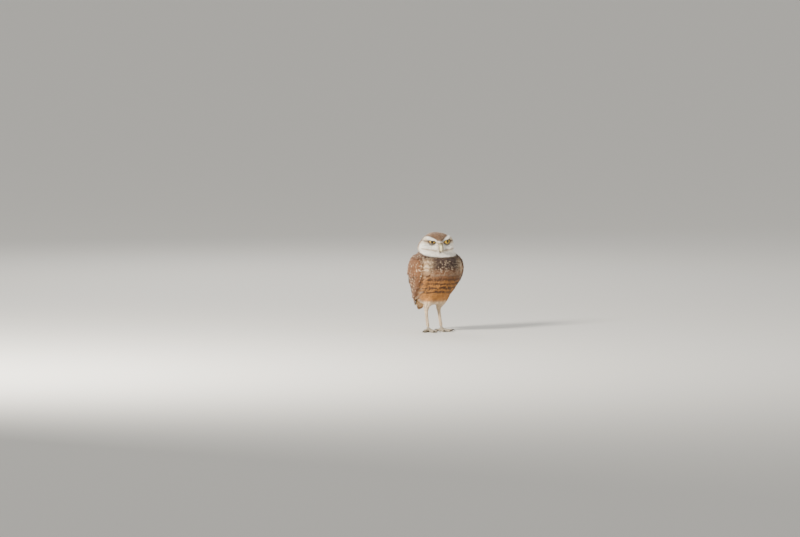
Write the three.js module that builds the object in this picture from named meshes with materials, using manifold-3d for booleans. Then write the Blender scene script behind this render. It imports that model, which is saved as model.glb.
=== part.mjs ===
// A burrowing owl standing at rest, life size, as a still model.
// Millimetres and degrees, +Z up. The bird stands on z = 0 and faces -Y, and its left side is +X.
import * as THREE from "three";
import { mergeVertices } from "three/addons/utils/BufferGeometryUtils.js";
import Module from "manifold-3d";

const wasm = await Module();
wasm.setup();

// Driving dimensions
const standingHeight = 188;
const headWidth = 69;
const headDepth = 58;
const crownRise = 31; // from the widest level of the head
const chinDrop = 14;
const headTurn = 16.5; // towards the bird's right
const torsoWidth = 97; // without the folded wings
const eyeRadius = 7.6;
const eyeSpacing = 27;
const lidThickness = 1.1;
const billWidth = 5.8;
const tailLength = 51;
const tailWidth = 24;
const legSpacing = 30;
const shankRadius = 3.3;
const toeRadius = 2.7;
const meetingGap = 0.3; // kept between pieces that touch
const finestDetail = 0.03; // what a finished surface leaves out

const degrees = THREE.MathUtils.degToRad;
const { lerp, smoothstep } = THREE.MathUtils;
const vector = (x, y, z) => new THREE.Vector3(x, y, z);

// A repeatable stream of numbers from 0 to 1.
function seededRandom(seed) {
  let state = seed;
  return () => {
    state = (Math.imul(state, 1664525) + 1013904223) >>> 0;
    return state / 2 ** 32;
  };
}

// Solids and meshes

// A closed geometry whose faces point out, from points and triangles of their indices.
function closedGeometry(points, triangles) {
  const index = triangles.flat();
  let volume = 0;
  for (let i = 0; i < index.length; i += 3) {
    const [a, b, c] = [points[index[i]], points[index[i + 1]], points[index[i + 2]]];
    volume += a.dot(b.clone().cross(c));
  }
  if (volume < 0) index.reverse();
  return new THREE.BufferGeometry().setFromPoints(points).setIndex(index);
}

function solidOf(geometry) {
  const bare = geometry.clone();
  bare.deleteAttribute("normal");
  bare.deleteAttribute("uv");
  const merged = mergeVertices(bare, 1e-4);
  return new wasm.Manifold(
    new wasm.Mesh({
      numProp: 3,
      vertProperties: merged.attributes.position.array,
      triVerts: new Uint32Array(merged.index.array),
    }),
  );
}

function geometryOf(solid) {
  const { vertProperties, triVerts } = largestPiece(solid.simplify(finestDetail)).getMesh();
  const geometry = new THREE.BufferGeometry()
    .setAttribute("position", new THREE.BufferAttribute(vertProperties, 3))
    .setIndex(new THREE.BufferAttribute(triVerts, 1));
  geometry.computeVertexNormals();
  return geometry;
}

const placed = (solid, matrix) => solid.transform(matrix.elements);
const joined = (solids) => solids.reduce((whole, piece) => whole.add(piece));
const largestPiece = (solid) =>
  solid.decompose().reduce((most, piece) => (piece.volume() > most.volume() ? piece : most));
const mirrored = (solid) => solid.mirror([1, 0, 0]);

// Joins rings of as many points into one closed solid with flat ends. With alike set, the second
// half of each section is split as the first half is, so that both faces of a thin vane agree.
function loft(rings, alike = false) {
  const count = rings[0].length;
  const triangles = [];
  for (let ring = 0; ring + 1 < rings.length; ring++)
    for (let k = 0; k < count; k++) {
      const a = ring * count + k;
      const b = ring * count + ((k + 1) % count);
      if (alike && k >= count / 2) triangles.push([a, b, a + count], [b, b + count, a + count]);
      else triangles.push([a, b, b + count], [a, b + count, a + count]);
    }
  const last = (rings.length - 1) * count;
  for (let k = 1; k + 1 < count; k++) {
    triangles.push([0, k + 1, k]);
    triangles.push([last, last + k, last + k + 1]);
  }
  return solidOf(closedGeometry(rings.flat(), triangles));
}

// A round limb along a curve. radii gives the half width and half depth at each share of the way.
function limb(curve, steps, sides, radii) {
  const rings = [];
  for (let step = 0; step <= steps; step++) {
    const share = step / steps;
    const along = curve.getTangentAt(share);
    const side = vector(1, 0, 0).addScaledVector(along, -along.x).normalize();
    const up = side.clone().cross(along);
    const [halfWidth, halfDepth] = radii(share);
    const ring = [];
    for (let k = 0; k < sides; k++) {
      const turn = (2 * Math.PI * k) / sides;
      ring.push(
        curve
          .getPointAt(share)
          .addScaledVector(side, halfWidth * Math.cos(turn))
          .addScaledVector(up, halfDepth * Math.sin(turn)),
      );
    }
    rings.push(ring);
  }
  return loft(rings);
}

function ellipsoid(radii, centre, across = 16, along = 12) {
  const geometry = new THREE.SphereGeometry(1, across, along);
  geometry.scale(...radii).translate(...centre);
  return solidOf(geometry);
}

// Torso

// The breast line, the back line and half the width at each height.
const torsoLevels = [
  { z: 50, front: -6, back: 47, half: 20 },
  { z: 64, front: -21, back: 48.5, half: 28 },
  { z: 80, front: -36, back: 48, half: 38 },
  { z: 96, front: -42.5, back: 45.5, half: 45.5 },
  { z: 112, front: -43.5, back: 41, half: torsoWidth / 2 },
  { z: 128, front: -41.5, back: 35.5, half: 47.5 },
  { z: 142, front: -37.5, back: 29.5, half: 41.5 },
  { z: 154, front: -32, back: 22, half: 30 },
];
const torsoBottom = 49;
const bellyRise = 15; // over which the belly rounds off
const torsoTop = 158;

// A smooth curve through the stations of a profile.
function profileAt(levels, z, key) {
  const last = levels.length - 2;
  const found = levels.findIndex((level) => level.z > z) - 1;
  const i = Math.min(Math.max(found < -1 ? last : found, 0), last);
  const slope = (j) => {
    const [a, b] = [levels[Math.max(j - 1, 0)], levels[Math.min(j + 1, levels.length - 1)]];
    return (b[key] - a[key]) / (b.z - a.z);
  };
  const [from, to] = [levels[i], levels[i + 1]];
  const span = to.z - from.z;
  const t = (z - from.z) / span;
  const bend = t * t * (3 - 2 * t);
  return (
    lerp(from[key], to[key], bend) +
    span * (slope(i) * t * (1 - t) ** 2 - slope(i + 1) * t * t * (1 - t))
  );
}

// A point of a level section, turning from the breast at 0 past the left side at 90 to the back.
function sectionPoint(levels, turn, z, rounding) {
  const front = profileAt(levels, z, "front");
  const back = profileAt(levels, z, "back");
  const half = profileAt(levels, z, "half");
  const angle = degrees(turn);
  return vector(
    rounding * half * Math.sin(angle),
    (front + back) / 2 - (rounding * (back - front) * Math.cos(angle)) / 2,
    z,
  );
}

// A point above a lofted surface by lift, along its outward normal.
function lifted(surface, turn, z, lift) {
  const step = 0.5;
  const point = surface(turn, z);
  const around = surface(turn + step, z).sub(surface(turn - step, z));
  const upward = surface(turn, z + step).sub(surface(turn, z - step));
  return point.addScaledVector(around.cross(upward).normalize(), lift);
}

const bellyRounding = (z) => {
  const depth = Math.max(0, (torsoBottom + bellyRise - z) / bellyRise);
  return Math.sqrt(Math.max(1e-4, 1 - depth * depth));
};
const torsoSurface = (turn, z) => sectionPoint(torsoLevels, turn, z, bellyRounding(z));

function torsoShape(grown = 0) {
  const sides = 32;
  const bellyRings = 4;
  const upperRings = 13;
  const heights = [];
  for (let i = 0; i < bellyRings; i++)
    heights.push(torsoBottom + bellyRise * (1 - Math.cos(degrees(12 + (78 * i) / bellyRings))));
  for (let i = 0; i <= upperRings; i++)
    heights.push(lerp(torsoBottom + bellyRise, torsoTop, i / upperRings));
  const rings = heights.map((z) =>
    Array.from({ length: sides }, (_, k) => lifted(torsoSurface, (360 * k) / sides, z, grown)),
  );
  return loft(rings);
}

// Head, in a frame of its own whose origin is the head's centre, facing -Y

const headCentre = vector(-2.6, -4.1, standingHeight - crownRise);
const eyeHeight = 14;
const eyeCentre = (side) => vector((side * eyeSpacing) / 2, -19.6, eyeHeight);
const headFrame = new THREE.Matrix4()
  .makeRotationZ(degrees(-headTurn))
  .setPosition(headCentre);

// How near a point of the face is to the line between two others, from 1 on it to 0 far away.
function nearness(x, z, from, to, reach) {
  const [dx, dz] = [to[0] - from[0], to[1] - from[1]];
  const share = ((x - from[0]) * dx + (z - from[1]) * dz) / (dx * dx + dz * dz);
  const held = Math.min(Math.max(share, 0), 1);
  const off = Math.hypot(x - from[0] - held * dx, z - from[1] - held * dz);
  return Math.exp(-(off * off) / (2 * reach * reach));
}

// How far the face stands forward of the plain head: brows, bill ridge, discs and cheeks.
function faceRelief(x, z) {
  const across = Math.abs(x);
  const eye = eyeSpacing / 2;
  const brow = nearness(across, z, [3, eyeHeight + 0.5], [23, eyeHeight + 8.5], 3.6);
  const ridge = nearness(across, z, [0, eyeHeight], [0, -4], 3.2);
  const disc = nearness(across, z, [eye + 1, eyeHeight - 2], [eye + 3, eyeHeight - 5], 7.5);
  const cheek = nearness(across, z, [9, -6], [23, -1], 4.5);
  const chin = nearness(across, z, [0, -4], [0, -14], 5);
  return 3.2 * brow + 2.6 * ridge - 2.8 * disc + 1.4 * cheek - 2.6 * chin;
}

function headPoint(direction) {
  const facing = smoothstep(-direction.y, -0.3, 0.9);
  const power = lerp(2.15, 2.6, facing);
  const upDown = direction.z > 0 ? crownRise : chinDrop;
  const radii = [headWidth / 2, headDepth / 2, upDown];
  const sum = direction
    .toArray()
    .reduce((total, part, i) => total + Math.abs(part / radii[i]) ** power, 0);
  const point = direction.clone().multiplyScalar(sum ** (-1 / power));
  // The crown is broad over the brows, narrows behind them and leans forward.
  const crown = lerp(1.08, 0.83, smoothstep(point.y, -18, 6));
  point.x *= lerp(1, crown, smoothstep(point.z, 2, 24));
  point.y -= 0.2 * Math.max(0, point.z - 6) * smoothstep(-point.y, -18, 12);
  point.y -= faceRelief(point.x, point.z) * smoothstep(-direction.y, 0.05, 0.6);
  return point;
}

function headShape(grown = 0) {
  const around = 36;
  const facing = 14;
  const behind = 6;
  const faceShare = 0.56; // of the way from the face's middle to the head's back
  const geometry = new THREE.SphereGeometry(1, around, facing + behind);
  const position = geometry.getAttribute("position");
  const direction = vector(0, 0, 0);
  for (let i = 0; i < position.count; i++) {
    direction.fromBufferAttribute(position, i);
    // The rings run closer together on the face, whose pole is the geometry's own -Y.
    const polar = Math.acos(THREE.MathUtils.clamp(-direction.y, -1, 1)) / Math.PI;
    const ring = polar * (facing + behind);
    const wanted =
      ring <= facing
        ? (ring / facing) * faceShare
        : lerp(faceShare, 1, (ring - facing) / behind);
    const flat = Math.hypot(direction.x, direction.z);
    const spread = flat > 1e-6 ? Math.sin(wanted * Math.PI) / flat : 0;
    direction.set(direction.x * spread, -Math.cos(wanted * Math.PI), direction.z * spread);
    const point = headPoint(direction).addScaledVector(direction, grown);
    position.setXYZ(i, point.x, point.y, point.z);
  }
  return solidOf(geometry);
}

const lidSlant = -7; // the outer corner is the higher one
// The lids' edges below and above the middle of each eye. The right eye squints at the light.
const lidEdges = [
  { side: -1, lower: -27, upper: 13 },
  { side: 1, lower: -31, upper: 24 },
];

// What lies between two slopes through the eye's centre, in front of it: the gap of the lids.
function lidOpening(side, lower, upper) {
  const reach = 2 * eyeRadius;
  const outline = new THREE.Shape();
  outline.moveTo(0, 0);
  outline.lineTo(reach * Math.cos(degrees(lower)), reach * Math.sin(degrees(lower)));
  outline.lineTo(reach * Math.cos(degrees(upper)), reach * Math.sin(degrees(upper)));
  const geometry = new THREE.ExtrudeGeometry(outline, { depth: 2 * reach, bevelEnabled: false });
  // The outline's own x runs forward and its y upward; the extrusion runs across the eye.
  geometry.translate(0, 0, -reach);
  geometry.rotateX(Math.PI / 2);
  geometry.rotateZ(-Math.PI / 2);
  const slant = new THREE.Matrix4().makeRotationY(degrees(side * lidSlant));
  const lids = eyeball(side, eyeRadius + meetingGap + lidThickness + 1);
  return placed(solidOf(geometry), slant.setPosition(eyeCentre(side))).intersect(lids);
}

const eyeball = (side, radius) =>
  ellipsoid([radius, radius, radius], eyeCentre(side).toArray(), 16, 10);

// Bill, in the head's frame: a hooked upper half with a ridge, over a short lower half

function billHalf(path, radii, steps) {
  const sides = 10;
  return limb(new THREE.CatmullRomCurve3(path), steps, sides, radii);
}

const billDepth = 7.2; // of the upper half at its root
const billPoint = 0.27; // half the width of the tip

function upperBill(grown = 0) {
  const path = [
    vector(0, -23, 8),
    vector(0, -29.6, 7.2),
    vector(0, -33.8, 3.8),
    vector(0, -34.8, -0.2),
    vector(0, -33.2, -3.9),
  ];
  const taper = (share) => Math.sqrt(Math.max(0, 1 - share ** 2.4));
  return billHalf(
    path,
    (share) => [
      (billWidth / 2) * taper(share) + billPoint + grown,
      (billDepth / 2) * taper(share) + billPoint + grown,
    ],
    8,
  );
}

function lowerBill(grown = 0) {
  const path = [vector(0, -23, 2.2), vector(0, -29.2, 1.2), vector(0, -31.8, -1.6)];
  return billHalf(
    path,
    (share) => [
      (billWidth / 2 - 0.5) * Math.sqrt(1 - 0.9 * share) + grown,
      0.27 * billDepth * Math.sqrt(1 - 0.85 * share) + grown,
    ],
    5,
  );
}

// Nostrils, one on each side of the bill's root.
const nostril = (side) =>
  ellipsoid([0.9, 0.7, 0.75], [side * (billWidth / 2 + 0.1), -31.4, 5.6], 6, 4);

// Keeps the bill's hidden root short of the eyes.
const headCore = ellipsoid([20, 24.5, 20], [0, 0, 6], 20, 14);

// Legs, for the left side. The right ones are their mirror images.

const heel = vector(legSpacing / 2 - 1, 10, 47);
const footCentre = vector(legSpacing / 2, 0.5, 4.2);

function thighShape(grown = 0) {
  const path = new THREE.CatmullRomCurve3([
    vector(12, -9, 78),
    vector(14, -3, 64),
    vector(legSpacing / 2 - 1, 6, 52),
    vector(legSpacing / 2 - 1, 9.6, 42),
  ]);
  const radius = (share) => lerp(15.5, 5.2, smoothstep(share, 0, 1)) + grown;
  return limb(path, 8, 16, (share) => [0.86 * radius(share), radius(share)]);
}

function shankShape(grown = 0) {
  const path = new THREE.CatmullRomCurve3([
    heel.clone(),
    heel.clone().lerp(footCentre, 0.5).add(vector(0.3, 0.8, 0)),
    footCentre.clone(),
  ]);
  return limb(path, 6, 10, (share) => {
    const heelBulge = 0.9 * Math.exp(-(((share - 0.04) / 0.14) ** 2));
    const footBulge = 0.5 * Math.exp(-(((share - 1) / 0.16) ** 2));
    const bulge = heelBulge + footBulge;
    return [shankRadius + bulge + grown, shankRadius + 1.2 * bulge + grown];
  });
}

const footPad = (grown = 0) =>
  ellipsoid([5 + grown, 5.4 + grown, 4.4 + grown], footCentre.toArray(), 12, 8);

// Each toe's heading from straight ahead towards the outside, its length and its claw's length.
const toes = [
  { name: "middle", heading: 10, length: 22, claw: 9.5 },
  { name: "inner", heading: -22, length: 18, claw: 9 },
  { name: "outer", heading: 62, length: 18, claw: 8 },
  { name: "hind", heading: 190, length: 12, claw: 8 },
];
const knuckles = 3;

// In the toe's own frame, which starts under the foot's centre and runs along -Y.
function toeShape(toe, grown = 0) {
  const path = new THREE.CatmullRomCurve3([
    vector(0, 0, footCentre.z),
    vector(0, -0.35 * toe.length, 3.2),
    vector(0, -0.72 * toe.length, 2.3),
    vector(0, -toe.length - 1, 2.2),
  ]);
  return limb(path, 6, 8, (share) => {
    const swell = 1 + 0.1 * Math.cos(2 * Math.PI * knuckles * share);
    const radius = toeRadius * swell * lerp(1.08, 0.8, share) + grown;
    return [radius, radius];
  })
    .trimByPlane([0, 0, 1], 0)
    .trimByPlane([0, 1, 0], -toe.length);
}

function clawShape(toe) {
  const start = -toe.length;
  const path = new THREE.CatmullRomCurve3([
    vector(0, start, toeRadius - 0.3),
    vector(0, start - 0.42 * toe.claw, toeRadius + 0.7),
    vector(0, start - 0.78 * toe.claw, toeRadius - 0.5),
    vector(0, start - toe.claw, 0.4),
  ]);
  return limb(path, 5, 6, (share) => {
    const radius = lerp(1.55, 0.22, share ** 0.9);
    return [0.85 * radius, radius];
  })
    .trimByPlane([0, 0, 1], 0)
    .trimByPlane([0, -1, 0], toe.length + meetingGap);
}

const toeFrame = (toe) =>
  new THREE.Matrix4()
    .makeRotationZ(degrees(toe.heading))
    .setPosition(footCentre.x, footCentre.y, 0);

// Vanes

// A thin feather lofted through stations, each with a point on its shaft, the direction across it
// and its normal. widths gives the share of its full half width at each station.
const vaneEdge = 0.27; // half the thickness at the edges
const vaneRidge = 0.42; // and along the shaft
function vane(stations, halfWidth, widths) {
  const rings = stations.map(({ point, side, normal }, i) => {
    const reach = halfWidth * widths[i];
    const at = (across, up) =>
      point.clone().addScaledVector(side, across).addScaledVector(normal, up);
    return [
      at(-reach, vaneEdge),
      at(0, vaneRidge),
      at(reach, vaneEdge),
      at(reach, -vaneEdge),
      at(0, -vaneRidge),
      at(-reach, -vaneEdge),
    ];
  });
  return loft(rings, true);
}
const flightVane = { shares: [0, 0.35, 0.7, 0.9, 1], widths: [0.6, 0.95, 1, 0.74, 0.25] };
const covertVane = { shares: [0, 0.5, 0.85, 1], widths: [0.65, 1, 0.82, 0.3] };

// Tail, from inside the rump to its tip

const tailRoot = vector(0, 33, 86);
const tailTip = vector(0, 51.5, 38);
const tailPairs = 6;
const tailTopLift = 2.4;
const tailStep = 0.86; // from one feather down to the next outer one
const tailVane = 4.2; // half the width of a feather
const tailInset = 6; // from the tail's root to its feathers' own
const tailRounding = 0.006; // how much shorter each outer feather is, by the square of its rank
const tailFrame = {
  along: tailTip.clone().sub(tailRoot).normalize(),
  side: vector(1, 0, 0),
};
tailFrame.normal = tailFrame.along.clone().cross(tailFrame.side).negate();

// A block round all the tail's feathers, from its root to a share of its length.
const tailDepth = 8.4;
const tailCorners = [
  [1, -0.7],
  [1, 0.7],
  [0.85, 1],
  [-0.85, 1],
  [-1, 0.7],
  [-1, -0.7],
  [-0.85, -1],
  [0.85, -1],
];
function tailBlock(reach, grown = 0) {
  const rings = [0, reach].map((share) => {
    const centre = tailRoot
      .clone()
      .addScaledVector(tailFrame.along, share * tailLength + (share > 0 ? grown : -grown));
    return tailCorners.map(([across, up]) =>
      centre
        .clone()
        .addScaledVector(tailFrame.side, across * (tailWidth / 2 + grown))
        .addScaledVector(tailFrame.normal, up * (tailDepth / 2 + grown)),
    );
  });
  return loft(rings);
}

// The middle pair of feathers lies on top and each outer one a step lower.
function tailShape() {
  const random = seededRandom(5);
  const feathers = [];
  for (let rank = 0; rank < tailPairs; rank++)
    for (const hand of [-1, 1]) {
      const out = hand * (rank + 0.5);
      const underneath = rank === 0 && hand > 0; // the middle two overlap
      const depth = tailTopLift - tailStep * (rank + (underneath ? 0.5 : 0));
      const length = tailLength * (1 - tailRounding * rank * rank) + lerp(-0.5, 0.5, random());
      const stations = flightVane.shares.map((share) => ({
        point: tailRoot
          .clone()
          .addScaledVector(tailFrame.along, lerp(tailInset, length, share))
          .addScaledVector(tailFrame.side, out * lerp(0.8, 1.45, share))
          .addScaledVector(tailFrame.normal, depth),
        side: tailFrame.side,
        normal: tailFrame.normal,
      }));
      feathers.push(vane(stations, tailVane, flightVane.widths));
    }
  return largestPiece(joined([tailBlock(0.6), ...feathers]));
}

// Wings, for the left side

// The surface that the folded wing lies on: the torso's flank, carried on down beside the tail.
const wingLevels = [
  { z: 36, front: 20, back: 56, half: 12 },
  { z: 50, front: 6, back: 54, half: 17.5 },
  { z: 64, front: -19, back: 52, half: 28 },
  ...torsoLevels.slice(2),
];
const wingSurface = (turn, z) => sectionPoint(wingLevels, turn, z, 1);

// The wing's lower and back edges from the shoulder to the tip, as turns and heights.
const edgeCurve = (stations) =>
  new THREE.SplineCurve(stations.map(([turn, z]) => new THREE.Vector2(turn, z)));
const lowerEdge = edgeCurve([
  [72, 141],
  [60, 124],
  [65, 103],
  [79, 82],
  [104, 65],
  [150, 46],
]);
const backEdge = edgeCurve([
  [130, 144],
  [154, 133],
  [164, 115],
  [167, 95],
  [167, 74],
  [162, 54],
]);

// A place on the wing, as shares of the way across from the lower edge and down from the shoulder.
function wingPlace(across, down, lift) {
  const low = lowerEdge.getPoint(down);
  const place = low.lerp(backEdge.getPoint(down), across);
  return lifted(wingSurface, place.x, place.y, lift);
}

const padReach = 0.44; // the share of the wing's length that the pad takes
const padClearance = 1;
const padRim = 1.7;
// How far the pad stands up from its rim at shares of its own length.
const padBulge = [
  { z: 0, lift: 0.2 },
  { z: 0.17, lift: 2.9 },
  { z: 0.5, lift: 3.8 },
  { z: 0.84, lift: 3.2 },
  { z: 1, lift: 0.5 },
];

// The fleshy part of the wing, with the smallest coverts, that all its feathers grow from.
function wingPad() {
  const across = 7;
  const down = 6;
  const rings = [];
  for (let row = 0; row <= down; row++) {
    const outer = [];
    const inner = [];
    const bulge = profileAt(padBulge, row / down, "lift");
    for (let k = 0; k <= across; k++) {
      const swell = Math.sqrt(Math.sin((Math.PI * (0.04 + 0.92 * k)) / across));
      outer.push(wingPlace(k / across, (padReach * row) / down, padRim + bulge * swell));
      inner.unshift(wingPlace(k / across, (padReach * row) / down, padClearance));
    }
    rings.push([...outer, ...inner]);
  }
  return loft(rings);
}

// The tiers of the folded wing, from the lowest to the topmost. Each lists where the roots and tips
// of its first and last feathers lie across the wing, how far down it, and how high they ride.
const wingTiers = [
  {
    name: "primaries",
    count: 6,
    rootsAcross: [0.04, 0.34],
    tipsAcross: [0.06, 0.8],
    rootsDown: [0.34, 0.34],
    tipsDown: [0.99, 0.98, 0.94, 0.9, 0.85, 0.8],
    lift: [2.2, 2],
    halfWidth: [4, 4.4],
    form: flightVane,
  },
  {
    name: "secondaries",
    count: 7,
    rootsAcross: [0.3, 0.94],
    tipsAcross: [0.36, 0.96],
    rootsDown: [0.34, 0.3],
    tipsDown: [0.79, 0.76, 0.73, 0.7, 0.67],
    lift: [2.7, 3.1],
    halfWidth: [4.8, 5.4],
    form: flightVane,
  },
  {
    name: "greater coverts",
    count: 7,
    rootsAcross: [0.06, 0.92],
    tipsAcross: [0.07, 0.93],
    rootsDown: [0.3, 0.26],
    tipsDown: [0.57, 0.56, 0.51],
    lift: [3.2, 4.6],
    halfWidth: [5, 5.8],
    form: covertVane,
  },
  {
    name: "median coverts",
    count: 6,
    rootsAcross: [0.06, 0.92],
    tipsAcross: [0.07, 0.93],
    rootsDown: [0.13, 0.1],
    tipsDown: [0.38, 0.37, 0.33],
    lift: [4, 5.6],
    halfWidth: [4.8, 5.6],
    form: covertVane,
  },
];
const wingTilt = 11; // each feather's back edge dips under the next one
const tipScatter = 0.008; // of the feathers' lengths, as a share of the wing's

// The value at a share of the way through a list of evenly spaced ones.
function listed(values, share) {
  const place = share * (values.length - 1);
  const i = Math.min(Math.floor(place), values.length - 2);
  return lerp(values[i], values[i + 1], place - i);
}

function wingFeather(tier, share, random) {
  const rootDown = lerp(...tier.rootsDown, share);
  const tipDown = listed(tier.tipsDown, share) + lerp(-tipScatter, tipScatter, random());
  const tilt = degrees(wingTilt * Math.min(1, 4 * share));
  const step = 0.01;
  const stations = tier.form.shares.map((along) => {
    const across = lerp(lerp(...tier.rootsAcross, share), lerp(...tier.tipsAcross, share), along);
    const down = lerp(rootDown, tipDown, along);
    const lift = lerp(...tier.lift, along);
    const point = wingPlace(across, down, lift);
    const ahead = wingPlace(across, down + step, lift).sub(point);
    const back = wingPlace(across + step, down, lift).sub(point);
    const normal = ahead.clone().cross(back).normalize();
    const side = normal.clone().cross(ahead).normalize();
    return {
      point,
      side: side.clone().multiplyScalar(Math.cos(tilt)).addScaledVector(normal, -Math.sin(tilt)),
      normal: normal.clone().multiplyScalar(Math.cos(tilt)).addScaledVector(side, Math.sin(tilt)),
    };
  });
  const halfWidth = lerp(...tier.halfWidth, share) * lerp(0.95, 1.05, random());
  return vane(stations, halfWidth, tier.form.widths);
}

function wingShape(seed) {
  const random = seededRandom(seed);
  const feathers = wingTiers.flatMap((tier) =>
    Array.from({ length: tier.count }, (_, i) => wingFeather(tier, i / (tier.count - 1), random)),
  );
  return joined([wingPad(), ...feathers]);
}

// Cutting the pieces from one another

// A level cut through the body that rises towards the back.
function slope(height, rise) {
  const normal = vector(0, -rise, 1).normalize();
  return { normal: normal.toArray(), offset: normal.z * height };
}
const neckTop = slope(151, 0.2);
const neckBottom = slope(142, 0.12);
const above = (solid, cut, gap = 0) => solid.trimByPlane(cut.normal, cut.offset + gap);
const below = (solid, cut, gap = 0) =>
  solid.trimByPlane(
    cut.normal.map((part) => -part),
    -(cut.offset - gap),
  );

const toWorld = (solid) => placed(solid, headFrame);
const flesh = torsoShape().add(toWorld(headShape()));
const grownFlesh = torsoShape(meetingGap).add(toWorld(headShape(meetingGap)));
const neck = largestPiece(below(above(flesh, neckBottom, meetingGap / 2), neckTop, meetingGap / 2));
const torsoWhole = largestPiece(below(flesh, neckBottom, meetingGap / 2));

function headWithLids() {
  let head = above(flesh, neckTop, meetingGap / 2);
  for (const { side, lower, upper } of lidEdges) {
    const lids = eyeball(side, eyeRadius + meetingGap + lidThickness).subtract(
      lidOpening(side, lower, upper),
    );
    head = head.add(toWorld(lids)).subtract(toWorld(eyeball(side, eyeRadius + meetingGap)));
    head = head.subtract(toWorld(lidOpening(side, lower, upper)));
  }
  return largestPiece(
    head.subtract(toWorld(upperBill(meetingGap).add(lowerBill(meetingGap)))),
  );
}

const tailRoom = 0.72; // the share of the tail's length that the torso makes room for
const torso = largestPiece(torsoWhole.subtract(tailBlock(tailRoom, meetingGap)));
const clearOfBody = (wing) =>
  largestPiece(wing.subtract(grownFlesh).subtract(tailBlock(1, meetingGap)));
const thigh = largestPiece(thighShape().subtract(torsoShape(meetingGap)));
const shank = largestPiece(shankShape().subtract(thighShape(meetingGap)).subtract(footPad(meetingGap)));
const pad = footPad().trimByPlane([0, 0, 1], 0);

// The finished bird

const finishes = {
  plumage: { color: 0x8a6a4d, roughness: 0.9 },
  wing: { color: 0x7a5638, roughness: 0.85 },
  tail: { color: 0x86623f, roughness: 0.85 },
  legFeather: { color: 0xd9c8ab, roughness: 0.9 },
  toe: { color: 0x9c8d78, roughness: 0.7 },
  claw: { color: 0x2b2420, roughness: 0.4 },
  bill: { color: 0xcfc48f, roughness: 0.45 },
  eye: { color: 0xd9b21f, roughness: 0.1 },
};
const materials = Object.fromEntries(
  Object.entries(finishes).map(([name, finish]) => [
    name,
    new THREE.MeshStandardMaterial({ ...finish, metalness: 0 }),
  ]),
);

function mesh(name, solid, material) {
  const made = new THREE.Mesh(geometryOf(solid), materials[material]);
  made.name = name;
  return made;
}

function headGroup() {
  const group = new THREE.Group();
  group.applyMatrix4(headFrame);
  const home = headFrame.clone().invert();
  const local = (solid) => placed(solid, home);
  const bill = upperBill().subtract(nostril(-1)).subtract(nostril(1));
  group.add(mesh("head", local(headWithLids()), "plumage"));
  group.add(mesh("bill_upper", largestPiece(bill.subtract(headCore)), "bill"));
  group.add(
    mesh(
      "bill_lower",
      largestPiece(lowerBill().subtract(upperBill(meetingGap)).subtract(headCore)),
      "bill",
    ),
  );
  for (const [side, name] of [
    [-1, "eye_right"],
    [1, "eye_left"],
  ])
    group.add(mesh(name, eyeball(side, eyeRadius), "eye"));
  return group;
}

function legGroup(side, name) {
  const group = new THREE.Group();
  const turned = (solid) => (side < 0 ? mirrored(solid) : solid);
  group.add(mesh(`thigh_${name}`, turned(thigh), "legFeather"));
  group.add(mesh(`shank_${name}`, turned(shank), "legFeather"));
  group.add(mesh(`foot_${name}`, turned(pad), "toe"));
  let cut = footPad(meetingGap);
  for (const toe of toes) {
    const frame = toeFrame(toe);
    const bare = largestPiece(placed(toeShape(toe), frame).subtract(cut));
    cut = cut.add(placed(toeShape(toe, meetingGap), frame));
    group.add(mesh(`toe_${toe.name}_${name}`, turned(bare), "toe"));
    group.add(mesh(`claw_${toe.name}_${name}`, turned(placed(clawShape(toe), frame)), "claw"));
  }
  return group;
}

const owl = new THREE.Group();
owl.add(headGroup());
owl.add(mesh("neck", neck, "plumage"));
owl.add(mesh("torso", torso, "plumage"));
owl.add(mesh("wing_left", clearOfBody(wingShape(11)), "wing"));
owl.add(mesh("wing_right", clearOfBody(mirrored(wingShape(23))), "wing"));
owl.add(mesh("tail", tailShape(), "tail"));
owl.add(legGroup(1, "left"));
owl.add(legGroup(-1, "right"));

// The origin is on the floor under the middle of the bird's outline.
const bounds = new THREE.Box3().setFromObject(owl, true);
const middle = bounds.getCenter(vector(0, 0, 0));
owl.position.set(-middle.x, -middle.y, -bounds.min.z);

export default owl;
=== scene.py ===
import math
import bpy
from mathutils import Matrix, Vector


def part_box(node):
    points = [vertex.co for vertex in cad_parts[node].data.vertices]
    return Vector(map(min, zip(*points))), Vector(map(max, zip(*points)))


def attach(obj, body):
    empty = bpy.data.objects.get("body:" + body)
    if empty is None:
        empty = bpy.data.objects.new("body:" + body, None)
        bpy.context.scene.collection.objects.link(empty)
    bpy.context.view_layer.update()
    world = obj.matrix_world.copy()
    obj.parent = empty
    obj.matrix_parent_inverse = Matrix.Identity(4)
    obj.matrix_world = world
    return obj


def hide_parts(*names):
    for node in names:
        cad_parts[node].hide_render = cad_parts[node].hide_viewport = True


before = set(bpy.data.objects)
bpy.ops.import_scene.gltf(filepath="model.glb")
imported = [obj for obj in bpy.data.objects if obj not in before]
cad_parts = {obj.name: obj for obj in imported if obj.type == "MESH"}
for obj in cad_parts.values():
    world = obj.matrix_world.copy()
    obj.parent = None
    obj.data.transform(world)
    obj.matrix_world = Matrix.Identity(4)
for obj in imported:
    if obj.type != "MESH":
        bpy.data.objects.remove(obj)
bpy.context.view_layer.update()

from types import SimpleNamespace

import bmesh
import bpy
import numpy as np
from mathutils import Matrix, Vector
from mathutils.bvhtree import BVHTree
from mathutils.kdtree import KDTree


# A matrix that turns places about the upright axis.
def spinOf(degrees):
    turn = math.radians(degrees)
    return np.array([[math.cos(turn), -math.sin(turn), 0], [math.sin(turn), math.cos(turn), 0], [0, 0, 1.0]])


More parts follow.
